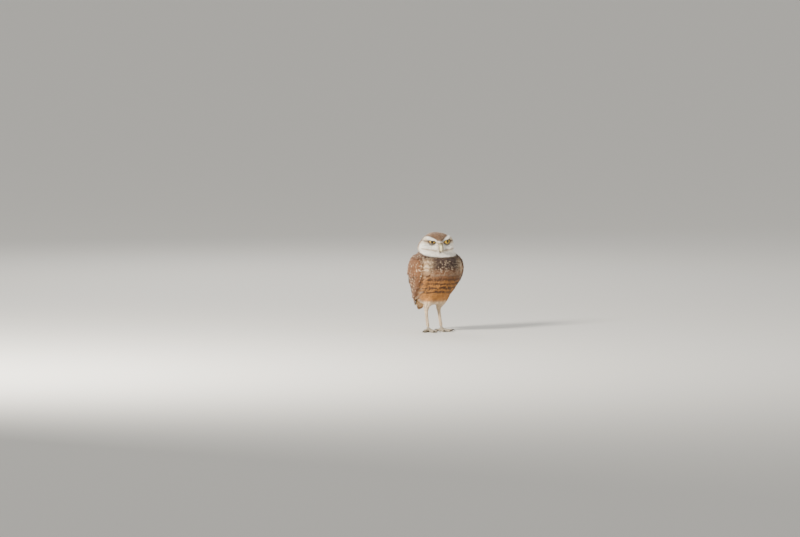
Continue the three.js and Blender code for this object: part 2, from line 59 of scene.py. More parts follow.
# Shapes are worked out in millimetres in the bird's own frame: it faces -Y and its left is +X.
leftward = np.array([1.0, 0, 0])
headCentre = np.array([-2.6, -4.1, 157.0])
headAxes = spinOf(-16.5)
eyeRadius = 7.6
eyeHome = np.array([13.5, -19.6, 14.0])  # the left eye, from the head's centre


def fromHead(points):
    return np.asarray(points, float) @ headAxes.T + headCentre


def toHead(points):
    return (np.asarray(points, float) - headCentre) @ headAxes


def middleOf(node):
    low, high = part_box(node)
    return np.array((low + high) / 2) * 1000


eyesMiddle = (middleOf("eye_left") + middleOf("eye_right")) / 2
birdToRow = eyesMiddle - fromHead([0, eyeHome[1], eyeHome[2]])  # where the bird's frame lies in the row's


# A share that goes smoothly from 0 at one value to 1 at the other.
def fade(start, end, value):
    share = np.clip((np.asarray(value, float) - start) / (end - start), 0, 1)
    return share * share * (3 - 2 * share)


def lerp(low, high, share):
    return low + (high - low) * share


def bell(value, middle, width, power=2):
    return np.exp(-((value - middle) / width) ** power)


def unit(vectors):
    return vectors / np.maximum(np.linalg.norm(vectors, axis=-1, keepdims=True), 1e-9)


def linear(code):
    channels = np.array([int(code[i:i + 2], 16) for i in (0, 2, 4)]) / 255
    return np.where(channels <= 0.04045, channels / 12.92, ((channels + 0.055) / 1.055) ** 2.4)


tints = {name: linear(code) for name, code in {
    "white": "F6F1E6", "cream": "E8DAC0", "buff": "C99B66", "gold": "B87C3C", "sand": "AC8A66",
    "brown": "664B39", "warm": "80573A", "rufous": "835431", "dark": "45322A", "dusk": "2B201B"}.items()}


def mixed(one, other, share):
    return lerp(tints[one], tints[other], share)


# The body's profile: height, breast line, back line and half the width.
torsoLevels = np.array([
    [50, -6, 47, 20], [64, -21, 48.5, 28], [80, -36, 48, 38], [96, -42.5, 45.5, 45.5],
    [112, -43.5, 41, 48.5], [128, -41.5, 35.5, 47.5], [142, -37.5, 29.5, 41.5], [154, -32, 22, 30]])
wingLevels = np.vstack([[[36, 20, 56, 12], [50, 6, 54, 17.5], [64, -19, 52, 28]], torsoLevels[2:]])


def profileAt(levels, z, column):
    z = np.asarray(z, float)
    heights, values = levels[:, 0], levels[:, column]
    i = np.clip(np.searchsorted(heights, z, side="right") - 1, 0, len(heights) - 2)
    order = np.arange(len(heights))
    before, after = np.maximum(order - 1, 0), np.minimum(order + 1, len(heights) - 1)
    slopes = (values[after] - values[before]) / (heights[after] - heights[before])
    span = heights[i + 1] - heights[i]
    t = (z - heights[i]) / span
    bend = t * t * (3 - 2 * t)
    return (lerp(values[i], values[i + 1], bend)
            + span * (slopes[i] * t * (1 - t) ** 2 - slopes[i + 1] * t * t * (1 - t)))


# The folded wing's own surface, by the turn in degrees from the breast and the height.
def wingSurface(turn, z):
    front, back, half = (profileAt(wingLevels, z, column) for column in (1, 2, 3))
    angle = np.radians(turn)
    return np.stack([half * np.sin(angle), (front + back) / 2 - (back - front) * np.cos(angle) / 2,
                     z + 0 * angle], -1)


def lifted(turn, z, lift):
    around = wingSurface(turn + 0.5, z) - wingSurface(turn - 0.5, z)
    upward = wingSurface(turn, z + 0.5) - wingSurface(turn, z - 0.5)
    normal = unit(np.cross(around, upward))
    return wingSurface(turn, z) + normal * np.asarray(lift)[..., None]


# The folded wing's lower and back edges from the shoulder to the tip, as turns and heights.
lowerEdge = np.array([[72, 141], [60, 124], [65, 103], [79, 82], [104, 65], [150, 46.0]])
backEdge = np.array([[130, 144], [154, 133], [164, 115], [167, 95], [167, 74], [162, 54.0]])


# The place a share t of the way from b to c, on a smooth curve through a, b, c and d.
def onCurve(a, b, c, d, t):
    start, end = (c - a) / 2, (d - b) / 2
    return (2 * b - 2 * c + start + end) * t ** 3 + (-3 * b + 3 * c - 2 * start - end) * t * t + start * t + b


def alongEdge(edge, share):
    last = len(edge) - 1
    run = np.clip(share, 0, 1) * last
    i = np.minimum(np.floor(run).astype(int), last)
    a, c, d = (edge[np.clip(i + step, 0, last)] for step in (-1, 1, 2))
    return onCurve(a, edge[i], c, d, (run - i)[..., None])


def smoothPath(stations, steps):
    stations = np.asarray(stations, float)
    padded = np.vstack([2 * stations[0] - stations[1], stations, 2 * stations[-1] - stations[-2]])
    shares = np.linspace(0, len(stations) - 1, steps + 1)
    i = np.minimum(shares.astype(int), len(stations) - 2)
    return onCurve(*(padded[i + k] for k in range(4)), (shares - i)[:, None])


aboveShoulder, pastTip = 70, 100  # how far the wing's chart runs on for each whole share of down


# A place on the left wing, by its share across from the lower edge and down from the shoulder.
def wingPlace(across, down, lift):
    across, down = np.broadcast_arrays(np.asarray(across, float), np.asarray(down, float))
    spot = lerp(alongEdge(lowerEdge, down), alongEdge(backEdge, down), across[..., None])
    above = np.maximum(-down, 0) * aboveShoulder
    beyond = np.maximum(down - 1, 0) * pastTip
    return (lifted(spot[..., 0], spot[..., 1] + above, lift)
            + np.stack([0 * beyond, 0.2 * beyond, -beyond], -1))


# Meshes


def toRow(points):
    return (np.asarray(points) + birdToRow) * 0.001


def place(obj, slot, *nodes):
    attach(obj, "root")
    if nodes:
        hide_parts(*nodes)
    return obj


def objectOf(name, mesh, material=None):
    obj = bpy.data.objects.new(name, mesh)
    bpy.context.scene.collection.objects.link(obj)
    if material:
        mesh.materials.append(material)
    return obj


def objectFromBmesh(name, bm, material, smooth=True, row=True):
    if row:
        for vert in bm.verts:
            vert.co = Vector(toRow(np.array(vert.co)))
    mesh = bpy.data.meshes.new(name)
    bm.to_mesh(mesh)
    bm.free()
    mesh.polygons.foreach_set("use_smooth", [smooth] * len(mesh.polygons))
    return objectOf(name, mesh, material)


# Adds a part to a joined piece, with each of its points moved by a rule where one is given.
def addPart(whole, part, move=None):
    if move:
        for vert in part.verts:
            vert.co = Vector(move(np.array(vert.co)))
    held = bpy.data.meshes.new("held")
    part.to_mesh(held)
    whole.from_mesh(held)
    part.free()
    bpy.data.meshes.remove(held)


def addBall(bm, segments, home, radius=1, stretch=(1, 1, 1), lean=0):
    around, high = segments
    verts = bmesh.ops.create_uvsphere(bm, u_segments=around, v_segments=high, radius=radius)["verts"]
    bmesh.ops.scale(bm, verts=verts, vec=stretch)
    bmesh.ops.rotate(bm, verts=verts, cent=(0, 0, 0), matrix=Matrix.Rotation(math.radians(lean), 3, "X"))
    bmesh.ops.translate(bm, verts=verts, vec=Vector(home))


def vertsIn(geometry):
    return [part for part in geometry if isinstance(part, bmesh.types.BMVert)]


# Draws a ring of points out by one step and gives the new ring in the same order.
def nextRing(bm, ring):
    edges = [e for e in bm.edges if all(v in ring for v in e.verts)]
    fresh = set(vertsIn(bmesh.ops.extrude_edge_only(bm, edges=edges)["geom"]))
    return [next(e.other_vert(v) for e in v.link_edges if e.other_vert(v) in fresh) for v in ring]


# A closed tube of many sides through the points of a path.
def sweptTube(bm, path, radii, sides):
    tangents = unit(np.gradient(path, axis=0))
    rings = [bmesh.ops.create_circle(bm, cap_ends=False, segments=sides, radius=1)["verts"]]
    for i, (spot, (wide, deep)) in enumerate(zip(path, radii)):
        if i:
            rings.append(nextRing(bm, rings[-1]))
        along, side = Vector(tangents[i]), Vector(leftward)
        side = (side - along * along.dot(side)).normalized()
        up = side.cross(along)
        for k, vert in enumerate(rings[-1]):
            turn = 2 * math.pi * k / sides
            vert.co = Vector(spot) + side * wide * math.cos(turn) + up * deep * math.sin(turn)
    for end in (rings[0], rings[-1]):
        middle = sum((v.co for v in end), Vector()) / len(end)
        cap = bmesh.ops.contextual_create(bm, geom=end)["faces"]
        for vert in bmesh.ops.poke(bm, faces=cap)["verts"]:
            vert.co = middle
    bmesh.ops.recalc_face_normals(bm, faces=bm.faces[:])
    return rings


# A value for each point of a mesh: a number, or three as a vector.
def setValues(mesh, name, values):
    values = np.ascontiguousarray(values, np.float32)
    kind, field = ("FLOAT", "value") if values.ndim == 1 else ("FLOAT_VECTOR", "vector")
    mesh.attributes.new(name, kind, "POINT").data.foreach_set(field, values.ravel())


def setUv(mesh, name, values):
    corners = np.empty(len(mesh.loops), np.int32)
    mesh.loops.foreach_get("vertex_index", corners)
    layer = mesh.uv_layers.new(name=name)
    layer.data.foreach_set("uv", np.ascontiguousarray(np.asarray(values, np.float32)[corners]).ravel())


# Materials


# A socket in a material's node tree. Sums and products of these add the nodes that work them out.
class Wire:
    def __init__(self, wires, socket):
        self.wires, self.socket = wires, socket

    def __add__(self, other):
        return self.wires.math("ADD", self, other)

    def __sub__(self, other):
        return self.wires.math("SUBTRACT", self, other)

    def __rsub__(self, other):
        return self.wires.math("SUBTRACT", other, self)

    def __mul__(self, other):
        return self.wires.math("MULTIPLY", self, other)

    def __truediv__(self, other):
        return self.wires.math("DIVIDE", self, other)


class Wires:
    def __init__(self, name):
        self.material = bpy.data.materials.new(name)
        self.material.use_nodes = True
        self.tree = self.material.node_tree

    def put(self, socket, value):
        if isinstance(value, Wire):
            self.tree.links.new(value.socket, socket)
        elif isinstance(value, str):
            socket.default_value = (*linear(value), 1)
        elif socket.type == "RGBA":
            socket.default_value = (*value, 1)
        else:
            socket.default_value = value

    def outputs(self, kind, settings=None, **inputs):
        node = self.tree.nodes.new(kind)
        for key, value in (settings or {}).items():
            setattr(node, key, value)
        for key, value in inputs.items():
            self.put(node.inputs[key.replace("_", " ")], value)
        return {socket.name: Wire(self, socket) for socket in node.outputs}

    def node(self, kind, settings=None, **inputs):
        return next(iter(self.outputs(kind, settings, **inputs).values()))

    def math(self, operation, *values):
        node = self.tree.nodes.new("ShaderNodeMath")
        node.operation = operation
        for socket, value in zip(node.inputs, values):
            self.put(socket, value)
        return Wire(self, node.outputs[0])

    def most(self, first, *others):
        for other in others:
            first = self.math("MAXIMUM", first, other)
        return first

    def fade(self, value, start, end):
        return self.node("ShaderNodeMapRange", {"interpolation_type": "SMOOTHSTEP"},
                         Value=value, From_Min=start, From_Max=end)

    def mix(self, share, a, b, blend="MIX"):
        node = self.tree.nodes.new("ShaderNodeMix")
        node.data_type, node.blend_type = "RGBA", blend
        for number, value in ((0, share), (6, a), (7, b)):
            self.put(node.inputs[number], value)
        return Wire(self, node.outputs[2])

    # A colour made lighter or darker.
    def shade(self, colour, tone):
        return self.mix(1.0, colour, self.node("ShaderNodeCombineXYZ", X=tone, Y=tone, Z=tone), "MULTIPLY")

    def parts(self, vector):
        return self.outputs("ShaderNodeSeparateXYZ", Vector=vector).values()

    def objectPlace(self):
        return self.outputs("ShaderNodeTexCoord")["Object"]

    def noise(self, scale, detail=2.0, vector=None):
        return self.node("ShaderNodeTexNoise", Vector=vector or self.objectPlace(), Scale=scale,
                         Detail=detail)

    def attribute(self, name, output="Color"):
        return self.outputs("ShaderNodeAttribute", {"attribute_name": name})[output]

    def bump(self, strength, distance, height):
        return self.node("ShaderNodeBump", Strength=strength, Distance=distance, Height=height)

    def finish(self, **inputs):
        for key, value in inputs.items():
            self.put(self.tree.nodes["Principled BSDF"].inputs[key.replace("_", " ")], value)
        return self.material


def vaneMaterial(name, look):
    wires = Wires(name)
    sideways, along, _ = wires.parts(wires.node("ShaderNodeUVMap", {"uv_map": "vane"}))
    across = wires.math("ABSOLUTE", sideways * 2.0 - 1.0)
    blur = wires.noise(look["wobbleScale"]) - 0.5
    barShare, pairShare, dropShare = wires.parts(wires.attribute("pattern", "Vector"))
    chance = wires.attribute("chance", "Fac")

    # Bars that follow the barbs, bent back towards the edge of the vane.
    phase = wires.attribute("phase", "Fac") + blur * look["wobble"] - across * look["barBend"]
    phase = phase + (chance * look["barScatter"] + look["barPhase"])
    wave = wires.math("COSINE", phase * (2 * math.pi))
    bars = wires.fade(wave, look["barEdge"] - 0.3, look["barEdge"] + 0.3)
    bars = bars * wires.fade(across, *look["barInner"])

    # Round spots, each a place across and along the vane, with its half sizes.
    def spot(off, wide, row, high):
        beside, behind = (across - off) / wide, (along - row) / high
        reach = beside * beside + behind * behind + blur * 2.4 + (chance * 1.2 - 0.35)
        return 1.0 - wires.fade(reach, 0.5, 1.3)

    off, wide, high = look["spotPlace"]
    paired = wires.most(*(spot(off, wide, row, high) for row in look["spotRows"]))
    marks = wires.most(bars * barShare, paired * pairShare, spot(*look["dropPlace"]) * dropShare)
    colour = wires.mix(marks, wires.attribute("ground"), wires.attribute("mark"))

    # Barbs as fine slanting lines, a shaft of its own tint, and a darker foot towards the root: partly the
    # real grey down there, partly painted shade where other feathers overlap it.
    barbs = along * look["barbs"] - across * look["barbSlant"]
    barbWave = wires.math("SINE", barbs * (2 * math.pi))
    shaft = 1.0 - wires.fade(across, 0.03, 0.11)
    tone = wires.noise(look["blotchScale"], 3.0) * look["blotch"] + (1 - look["blotch"] / 2)
    tone = tone * (barbWave * (look["barbShade"] / 2) + (1 - look["barbShade"] / 2))
    # darker towards each feather's root: painted shade of the overlapping feathers, together with its real
    # grey down
    tone = tone * (chance * 0.22 + 0.89) * (wires.fade(along, 0.1, 0.75) * 0.42 + 0.58)
    colour = wires.mix(shaft * look["shaft"], wires.shade(colour, tone), look["shaftTint"])
    bump = wires.bump(look["bump"], 0.0001, barbWave * 0.5 + shaft * 1.5)
    return wires.finish(Base_Color=colour, Normal=bump, Roughness=look["roughness"], Specular_IOR_Level=0.25,
                        Sheen_Weight=look["sheen"], Sheen_Roughness=0.5)


# Spots and drops give their place across the vane, half their width, their row where there is one, and half
# their height.
softLook = {"barPhase": 0.1, "barScatter": 0.34, "barBend": 0.1, "barEdge": -0.2, "barInner": (-0.2, -0.1),
            "wobble": 1.3, "wobbleScale": 110.0, "dropPlace": (0.0, 0.62, 0.87, 0.11),
            "spotPlace": (0.42, 0.4, 0.11), "spotRows": (0.86, 0.6), "barbs": 44.0, "barbSlant": 7.0,
            "barbShade": 0.14, "blotch": 0.3, "blotchScale": 90.0, "shaft": 0.08, "shaftTint": tints["cream"],
            "bump": 0.3, "roughness": 0.88, "sheen": 0.15}
firmLook = {**softLook, "barPhase": -0.15, "barScatter": 0.3, "barBend": 0.3, "barEdge": 0.58,
            "barInner": (0.1, 0.34), "wobble": 0.4, "wobbleScale": 260.0, "spotPlace": (0.52, 0.27, 0.07),
            "spotRows": (0.86, 0.62), "barbs": 70.0, "barbSlant": 10.0, "barbShade": 0.16, "blotch": 0.36,
            "shaft": 0.5, "shaftTint": tints["dark"], "bump": 0.6, "roughness": 0.75, "sheen": 0.05}
softVane = vaneMaterial("soft_vane", softLook)
firmVane = vaneMaterial("firm_vane", firmLook)


def skinMaterial():
    wires = Wires("skin_under_coat")
    colour = wires.shade(wires.attribute("ground"), wires.noise(500.0, 3.0) * 0.5 + 0.55)
    return wires.finish(Base_Color=colour, Normal=wires.bump(0.4, 0.0003, wires.noise(1500.0)), Roughness=0.9,
                        Specular_IOR_Level=0.2)


print("materials of the coat made")

# Skin: the fleshy solids as one surface, drawn in by the depth of the coat

skinPlan = {"voxel": 1.25, "swell": 0.35, "smoothing": 6, "bodyDepth": 2.9, "crownDepth": 2.0,
            "faceDepth": 1.3, "legDepth": 1.0, "padLift": 3.0, "padReach": 0.46, "padSteps": 18}
fleshNodes = ["head", "neck", "torso", "thigh_left", "thigh_right", "shank_left", "shank_right"]
# Balls that fill the roots of the tail and of the bill.
rootFillers = [{"stretch": (14.5, 7.5, 27), "lean": 21, "home": (0, 40.2, 67.4)},
               {"stretch": (3.9, 7, 6.5), "lean": 0, "home": fromHead([0, -22.5, 4.5])}]


# A low pad under the shoulder feathers of one wing.
def wingPad(side):
    bm = bmesh.new()
    steps = skinPlan["padSteps"]
    bmesh.ops.create_grid(bm, x_segments=steps, y_segments=steps, size=1)
    upper = bm.verts[:]
    lower = vertsIn(bmesh.ops.duplicate(bm, geom=bm.faces[:])["geom"])
    for verts, raised in ((upper, True), (lower, False)):
        shares = np.array([[(v.co.x + 1) / 2, (v.co.y + 1) / 2] for v in verts])
        across, down = 0.05 + 0.87 * shares[:, 0], 0.01 + skinPlan["padReach"] * shares[:, 1]
        swell = np.sqrt(np.sin(np.pi * (0.03 + 0.94 * shares[:, 0])))
        swell *= np.sqrt(np.sin(np.pi * (0.03 + 0.9 * shares[:, 1])))
        lift = skinPlan["padLift"] * swell if raised else -3.0 + 0 * swell
        for vert, spot in zip(verts, wingPlace(across, down, lift)):
            vert.co = Vector((side * spot[0], spot[1], spot[2]))
    bmesh.ops.bridge_loops(bm, edges=[e for e in bm.edges if e.is_boundary])
    bmesh.ops.recalc_face_normals(bm, faces=bm.faces[:])
    return bm


def joinedFlesh():
    flesh = bmesh.new()
    for node in fleshNodes:
        part = bmesh.new()
        part.from_mesh(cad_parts[node].data)
        bmesh.ops.remove_doubles(part, verts=part.verts[:], dist=1e-6)
        part.normal_update()
        for vert in part.verts:
            vert.co = Vector(np.array(vert.co) * 1000 - birdToRow) + vert.normal * skinPlan["swell"]
        addPart(flesh, part)
    for side in (-1, 1):
        addPart(flesh, wingPad(side))
        socket = bmesh.new()  # fills the eye's socket, which is opened again below
        addBall(socket, (24, 16), fromHead(eyeHome * [side, 1, 1]), radius=eyeRadius - 0.4)
        addPart(flesh, socket)
    for filler in rootFillers:
        ball = bmesh.new()
        addBall(ball, (24, 16), **filler)
        addPart(flesh, ball)
    mesh = bpy.data.meshes.new("flesh")
    flesh.to_mesh(mesh)
    flesh.free()
    obj = objectOf("flesh", mesh)
    remesh = obj.modifiers.new("remesh", "REMESH")
    remesh.mode, remesh.voxel_size, remesh.adaptivity = "VOXEL", skinPlan["voxel"], 0
    smoother = obj.modifiers.new("smooth", "SMOOTH")
    smoother.factor, smoother.iterations = 0.5, skinPlan["smoothing"]
    joined = bpy.data.meshes.new_from_object(obj.evaluated_get(bpy.context.evaluated_depsgraph_get()))
    bpy.data.objects.remove(obj)
    return joined


skinMesh = joinedFlesh()
print("flesh joined:", len(skinMesh.vertices), "points")

# Where each point of the skin is on the bird


def nearLine(x, z, start, end, reach):
    run = np.array(end, float) - np.array(start, float)
    share = np.clip(((x - start[0]) * run[0] + (z - start[1]) * run[1]) / run.dot(run), 0, 1)
    off = np.hypot(x - start[0] - share * run[0], z - start[1] - share * run[1])
    return np.exp(-off * off / (2 * reach * reach))


# Angles in degrees from the way that the eye looks. Side -1 is the bird's right, which squints.
eyePlan = {"look": np.array([0.22, -0.975, 0.0]), "pupil": 22, "iris": 52, "yellow": "E9BE1D",
           "amber": "B8860F", "amberFade": (22.0, 50.0), "lidSlant": 10, "corner": 48, "outer": 84,
           "openings": {-1: (-19, 7), 1: (-32, 22)}}


# The eye's centre, and directions ahead, across and up from it, with the outer corner the higher one.
def eyeOf(side):
    look = unit((eyePlan["look"] * [side, 1, 1]) @ headAxes.T)
    outward = headAxes @ np.array([side, 0, 0])
    outward = unit(outward - look * outward.dot(look))
    upward = np.cross(look, outward) * side
    upward = upward * np.sign(upward[2])
    slant = math.radians(eyePlan["lidSlant"])
    return (fromHead(eyeHome * [side, 1, 1]), look, outward * math.cos(slant) + upward * math.sin(slant),
            upward * math.cos(slant) - outward * math.sin(slant))


# How far a place round the eye is from the lids' edge, 0, to their outer circle, 1. Below 0 is the gap.
def lidShare(side, points):
    home, look, across, above = eyeOf(side)
    away = points - home
    forward = away @ look
    alpha, beta = (np.degrees(np.arctan2(away @ axis, np.abs(forward))) for axis in (across, above))
    low, high = eyePlan["openings"][side]
    off = np.hypot(alpha, beta)
    inside = np.hypot(alpha / eyePlan["corner"], beta / np.where(beta > 0, high, -low))
    edge = off / np.maximum(inside, 1e-6)
    share = (off - edge) / (eyePlan["outer"] - edge)
    return np.where(forward > 0, share, 2.0), np.linalg.norm(away, axis=1)


# The brow runs from a start near the bill to its end, the right one and the left one.
browPlan = {"start": (2.2, 13.8), "ends": ((21.8, 21), (21, 23.6)), "reach": (1.3, 2.5),
            "underEdge": (2.8, 13.4), "underRise": 0.42}
headJoin, headJoinLean = 149, 0.2  # the height where the head's feathers begin, and its rise to the back
tailLine = {"root": (33, 86), "up": (0.932, 0.362)}  # the tail's own line in y and z, and the way above it


# Places on the bird in both frames, with each region's share from 0 to 1.
def mapOf(points):
    x, y, z = points.T
    headX, headY, headZ = toHead(points).T
    where = SimpleNamespace(x=x, y=y, z=z, headX=headX, headY=headY, headZ=headZ, away=np.abs(headX))
    breastLine, backLine = (profileAt(torsoLevels, np.clip(z, 50, 154), column) for column in (1, 2))
    where.turn = np.abs(np.degrees(np.arctan2(x, (breastLine + backLine) / 2 - y)))
    (rootY, rootZ), (upY, upZ) = tailLine["root"], tailLine["up"]
    where.overTail = (y - rootY) * upY + (z - rootZ) * upZ
    where.head = fade(-3, 3, z - (headJoin + headJoinLean * y))
    where.face = where.head * fade(-9, -17, headY) * fade(29, 22, headZ)
    where.leg = fade(63, 52, z) * fade(27, 19, y)
    reach = lerp(*browPlan["reach"], fade(4, 17, where.away))
    brows = [nearLine(where.away, headZ, browPlan["start"], end, reach) for end in browPlan["ends"]]
    where.brow = where.head * np.where(headX < 0, *brows) * fade(-6, -14, headY)
    off, height = browPlan["underEdge"]
    where.belowBrow = fade(1, -1, headZ - height - browPlan["underRise"] * (where.away - off))
    where.eyeGap = np.minimum(*(np.linalg.norm(points - eyeOf(side)[0], axis=1) for side in (-1, 1)))
    return where


def pointsOf(mesh, what="co"):
    values = np.empty(len(mesh.vertices) * 3)
    mesh.vertices.foreach_get(what, values)
    return values.reshape(-1, 3)


skinPoints = pointsOf(skinMesh)
where = mapOf(skinPoints)
depth = lerp(skinPlan["bodyDepth"], skinPlan["crownDepth"], where.head)
depth = lerp(depth, skinPlan["faceDepth"], where.face)
depth = lerp(depth, skinPlan["legDepth"], fade(58, 46, where.z) * where.leg)
skinPoints -= pointsOf(skinMesh, "normal") * (depth + skinPlan["swell"])[:, None]
for side in (-1, 1):
    home = eyeOf(side)[0]
    share, reach = lidShare(side, skinPoints)
    inside = (reach < 12.5) & (share < 1.25)
    wanted = lerp(eyeRadius + 0.35, reach, fade(0.15, 0.8, share))  # behind the lids
    wanted = lerp(eyeRadius - 1.8, wanted, fade(-0.12, 0.06, share))  # behind the eye's ball
    skinPoints[inside] = (home + (skinPoints - home) * (wanted / reach)[:, None])[inside]
skinMesh.vertices.foreach_set("co", skinPoints.ravel())
skinMesh.update()
skinPoints, skinNormals = pointsOf(skinMesh), pointsOf(skinMesh, "normal")
skinQuads = np.empty(len(skinMesh.loops), np.int32)
skinMesh.loops.foreach_get("vertex_index", skinQuads)
skinQuads = skinQuads.reshape(-1, 4)
surface = BVHTree.FromPolygons(skinPoints.tolist(), skinQuads.tolist())
faceNormals = unit(skinNormals[skinQuads].sum(1))

# How far each point of the skin is across and down the folded wing
chartAcross, chartDown = (grid.ravel() for grid in np.meshgrid(np.linspace(0, 1, 31), np.linspace(0, 1, 61)))
chartLift = 1.0 + 0 * chartDown
chartPlaces = wingPlace(chartAcross, chartDown, chartLift)
chartTree = KDTree(len(chartPlaces))
for i, spot in enumerate(chartPlaces):
    chartTree.insert(spot, i)
chartTree.balance()
found = [chartTree.find((abs(p[0]), p[1], p[2])) for p in skinPoints]
wingIndex, wingGap = np.array([f[1] for f in found]), np.array([f[2] for f in found])
wingAcross, wingDown = chartAcross[wingIndex], chartDown[wingIndex]
wingEdge = (wingAcross <= 0) | (wingAcross >= 1) | (wingDown <= 0) | (wingDown >= 1)
onWing = (wingGap < 6.5) & ~(wingEdge & (wingGap > 2.2))
covered = onWing & (wingDown > 0.3) & (wingAcross > 0.05) & (wingAcross < 0.98)

# Markings and feather sizes, place by place


def blend(base, other, share):
    return base + (other - base) * np.asarray(share)[:, None]


def plumageAt(points, wing):
    at = mapOf(points)
    turn, z, away, headY, headZ, face = at.turn, at.z, at.away, at.headY, at.headZ, at.face
    count = len(points)
    front = fade(105, 62, turn)
    head = fade(0.35, 0.65, at.head)

    # the body's regions, each as a share
    belly = front * fade(108, 89, z + 3 * np.sin(at.x * 0.35))
    barred = front * fade(116, 104, z)
    vent = front * fade(78, 66, z)
    under = fade(1, -2, at.overTail) * fade(70, 62, z) * fade(18, 30, at.y)  # below the tail
    flank = bell(turn, 63, 15) * fade(142, 132, z) * fade(96, 106, z)
    hip = bell(turn, 58, 16) * fade(106, 98, z) * fade(80, 88, z)

    # the head's regions
    cheek = head * fade(2, -9, headY) * fade(11.5, 8.5, headZ)
    temple = head * fade(-3, -12, headY) * fade(8, 11, headZ) * at.belowBrow
    cheekEdge = head * fade(-12, 0, headY) * fade(8, -4, headZ) * fade(12, 2, headY)
    disc = face * fade(17, 13, at.eyeGap) * fade(3, 8, headZ) * at.belowBrow
    lores = face * bell(away, 0, 6, 4) * fade(-9, -3, headZ) * fade(13, 10.5, headZ)
    streak = head * nearLine(away, headZ, (20, 14.6), (28, 15.6), 1.5)
    throat = fade(64, 40, turn) * bell(z, 146.5, 3.6, 4) * fade(-4, -12, headY)
    collar = fade(-8, -14, headY) * bell(z - 153 - 0.05 * away ** 1.3, 0, 1.5)

    # each tint is laid over the ones above it in this list, by its share
    ground = np.tile(mixed("brown", "rufous", 0.3), (count, 1))
    for tint, share in (
            # the breast's dark brown is deepened towards near-black: partly its own colour, partly painted
            # shade from the head above it
            (mixed("dark", "dusk", 0.3), front * fade(110, 124, z)),
            (tints["warm"] * 0.85, 0.7 * front * fade(122, 110, z)),
            # the belly's gold is dulled: partly its own deep buff, partly painted shade under the breast
            (tints["gold"] * 0.76, belly),
            (mixed("cream", "buff", 0.8), 0.55 * flank),
            (mixed("gold", "rufous", 0.6), 0.6 * hip),
            (tints["gold"] * 0.92, 0.9 * vent),
            (mixed("buff", "cream", 0.1), under),
            (mixed("cream", "buff", 0.4), at.leg * fade(66, 54, z)),
            (mixed("brown", "sand", 0.1), head),
            # the temple and the disc are paler than the bird's own buffy-brown face: partly painted light, as
            # if washed out by sun from the left
            (mixed("cream", "white", 0.4), 0.85 * temple),
            (mixed("sand", "cream", 0.7), disc),
            (tints["cream"], 0.7 * cheekEdge),
            (tints["white"], cheek),
            # the lores' colour is darkened: painted shade of the bristles over them, on a real brownish tint
            (mixed("sand", "gold", 0.3) * 0.85, 0.8 * lores),
            (tints["brown"], 0.85 * streak),
            # the dark ring round each eye: partly the real dark edge of the feathers there, partly painted
            # shade under the brow
            (tints["dark"], 0.8 * (face * fade(10.6, 8.7, at.eyeGap))),
            (tints["white"], np.clip(at.brow * 1.6 - 0.3, 0, 1)),
            (tints["white"], throat),
            (tints["sand"] * 0.8, 0.8 * collar),
            (mixed("brown", "rufous", 0.6) * 0.9, wing)):
        ground = blend(ground, tint, share)
    mark = np.tile(mixed("buff", "cream", 0.6), (count, 1))
    mark = blend(mark, tints["warm"] * 0.42, barred)
    mark = blend(mark, tints["warm"] * 0.6, flank * fade(118, 112, z))

    # bars on the belly and flank, pale drops on the rest of the brown feathers, on some feathers only
    bars = np.maximum(barred, 0.8 * flank * fade(96, 104, z))
    bars = bars * (1 - np.maximum(0.8 * vent, under)) * (1 - at.leg) * (1 - wing)
    drops = lerp((1 - barred) * (1 - at.leg), 1, head)
    unspotted = np.clip(cheek + temple + cheekEdge + disc + lores + 2 * at.brow, 0, 1)
    drops = drops * (1 - unspotted) * (1 - throat)
    drops = lerp(drops, 1, wing)
    dropShare = lerp(lerp(lerp(0.26, 0.38, fade(112, 84, turn)), 0.3, head), 0.34, wing)
    lottery = np.random.default_rng(3).random(count)
    drops = drops * fade(dropShare + 0.05, dropShare - 0.05, lottery)
    bars = bars * fade(0.04, 0.22, lottery)

    at.throat = throat * (1 - head)
    back = fade(80, 120, turn) * (1 - head)
    neck = fade(132, 146, z) * (1 - head)
    collared = fade(0.1, 0.45, at.throat)
    shank = np.clip(at.leg, 0, 1) * fade(60, 50, z)
    brow = np.clip(at.brow * 1.4 - 0.2, 0, 1)
    nearEye = face * fade(12, 8.6, at.eyeGap)

    def sized(bodySize, backSize, neckSize, crownSize, faceSize, shankSize, wingSize):
        value = lerp(lerp(bodySize, backSize, back), neckSize, neck)
        value = lerp(value, 1.25 * faceSize, collared)
        value = lerp(value, lerp(crownSize, faceSize, face), head)
        return lerp(lerp(value, shankSize, shank), wingSize, wing)

    spacing = sized(1.38, 1.65, 1.2, 0.95, 0.57, 0.8, 1.5)
    length = sized(10.5, 12.5, 8.5, 6.2, 4.6, 5.0, 8.5)
    halfWidth = sized(1.6, 2.1, 1.35, 1.1, 0.36, 0.5, 1.9)
    height = sized(2.9, 2.9, 2.7, 1.6, 1.15, 1.1, 2.3)
    valley = fade(148, 164, turn) * fade(126, 106, z) * fade(58, 66, z)  # between the folded wings
    ruff = bell(z, 147, 4.5) * fade(42, 70, turn) * fade(150, 110, turn)  # where the head meets the shoulders
    height = height + 2.4 * valley * (1 - wing) + 2.4 * ruff
    length = length * (1 + 0.35 * ruff)
    return {"ground": ground, "mark": mark, "pattern": np.stack([bars, 0 * bars, drops], 1),
            "spacing": lerp(spacing, 0.55, nearEye), "length": lerp(lerp(length, 7.0, brow), 2.0, nearEye),
            "halfWidth": lerp(halfWidth, 0.3, nearEye),
            "height": lerp(lerp(height, 2.2, brow), 0.45, nearEye)}, at


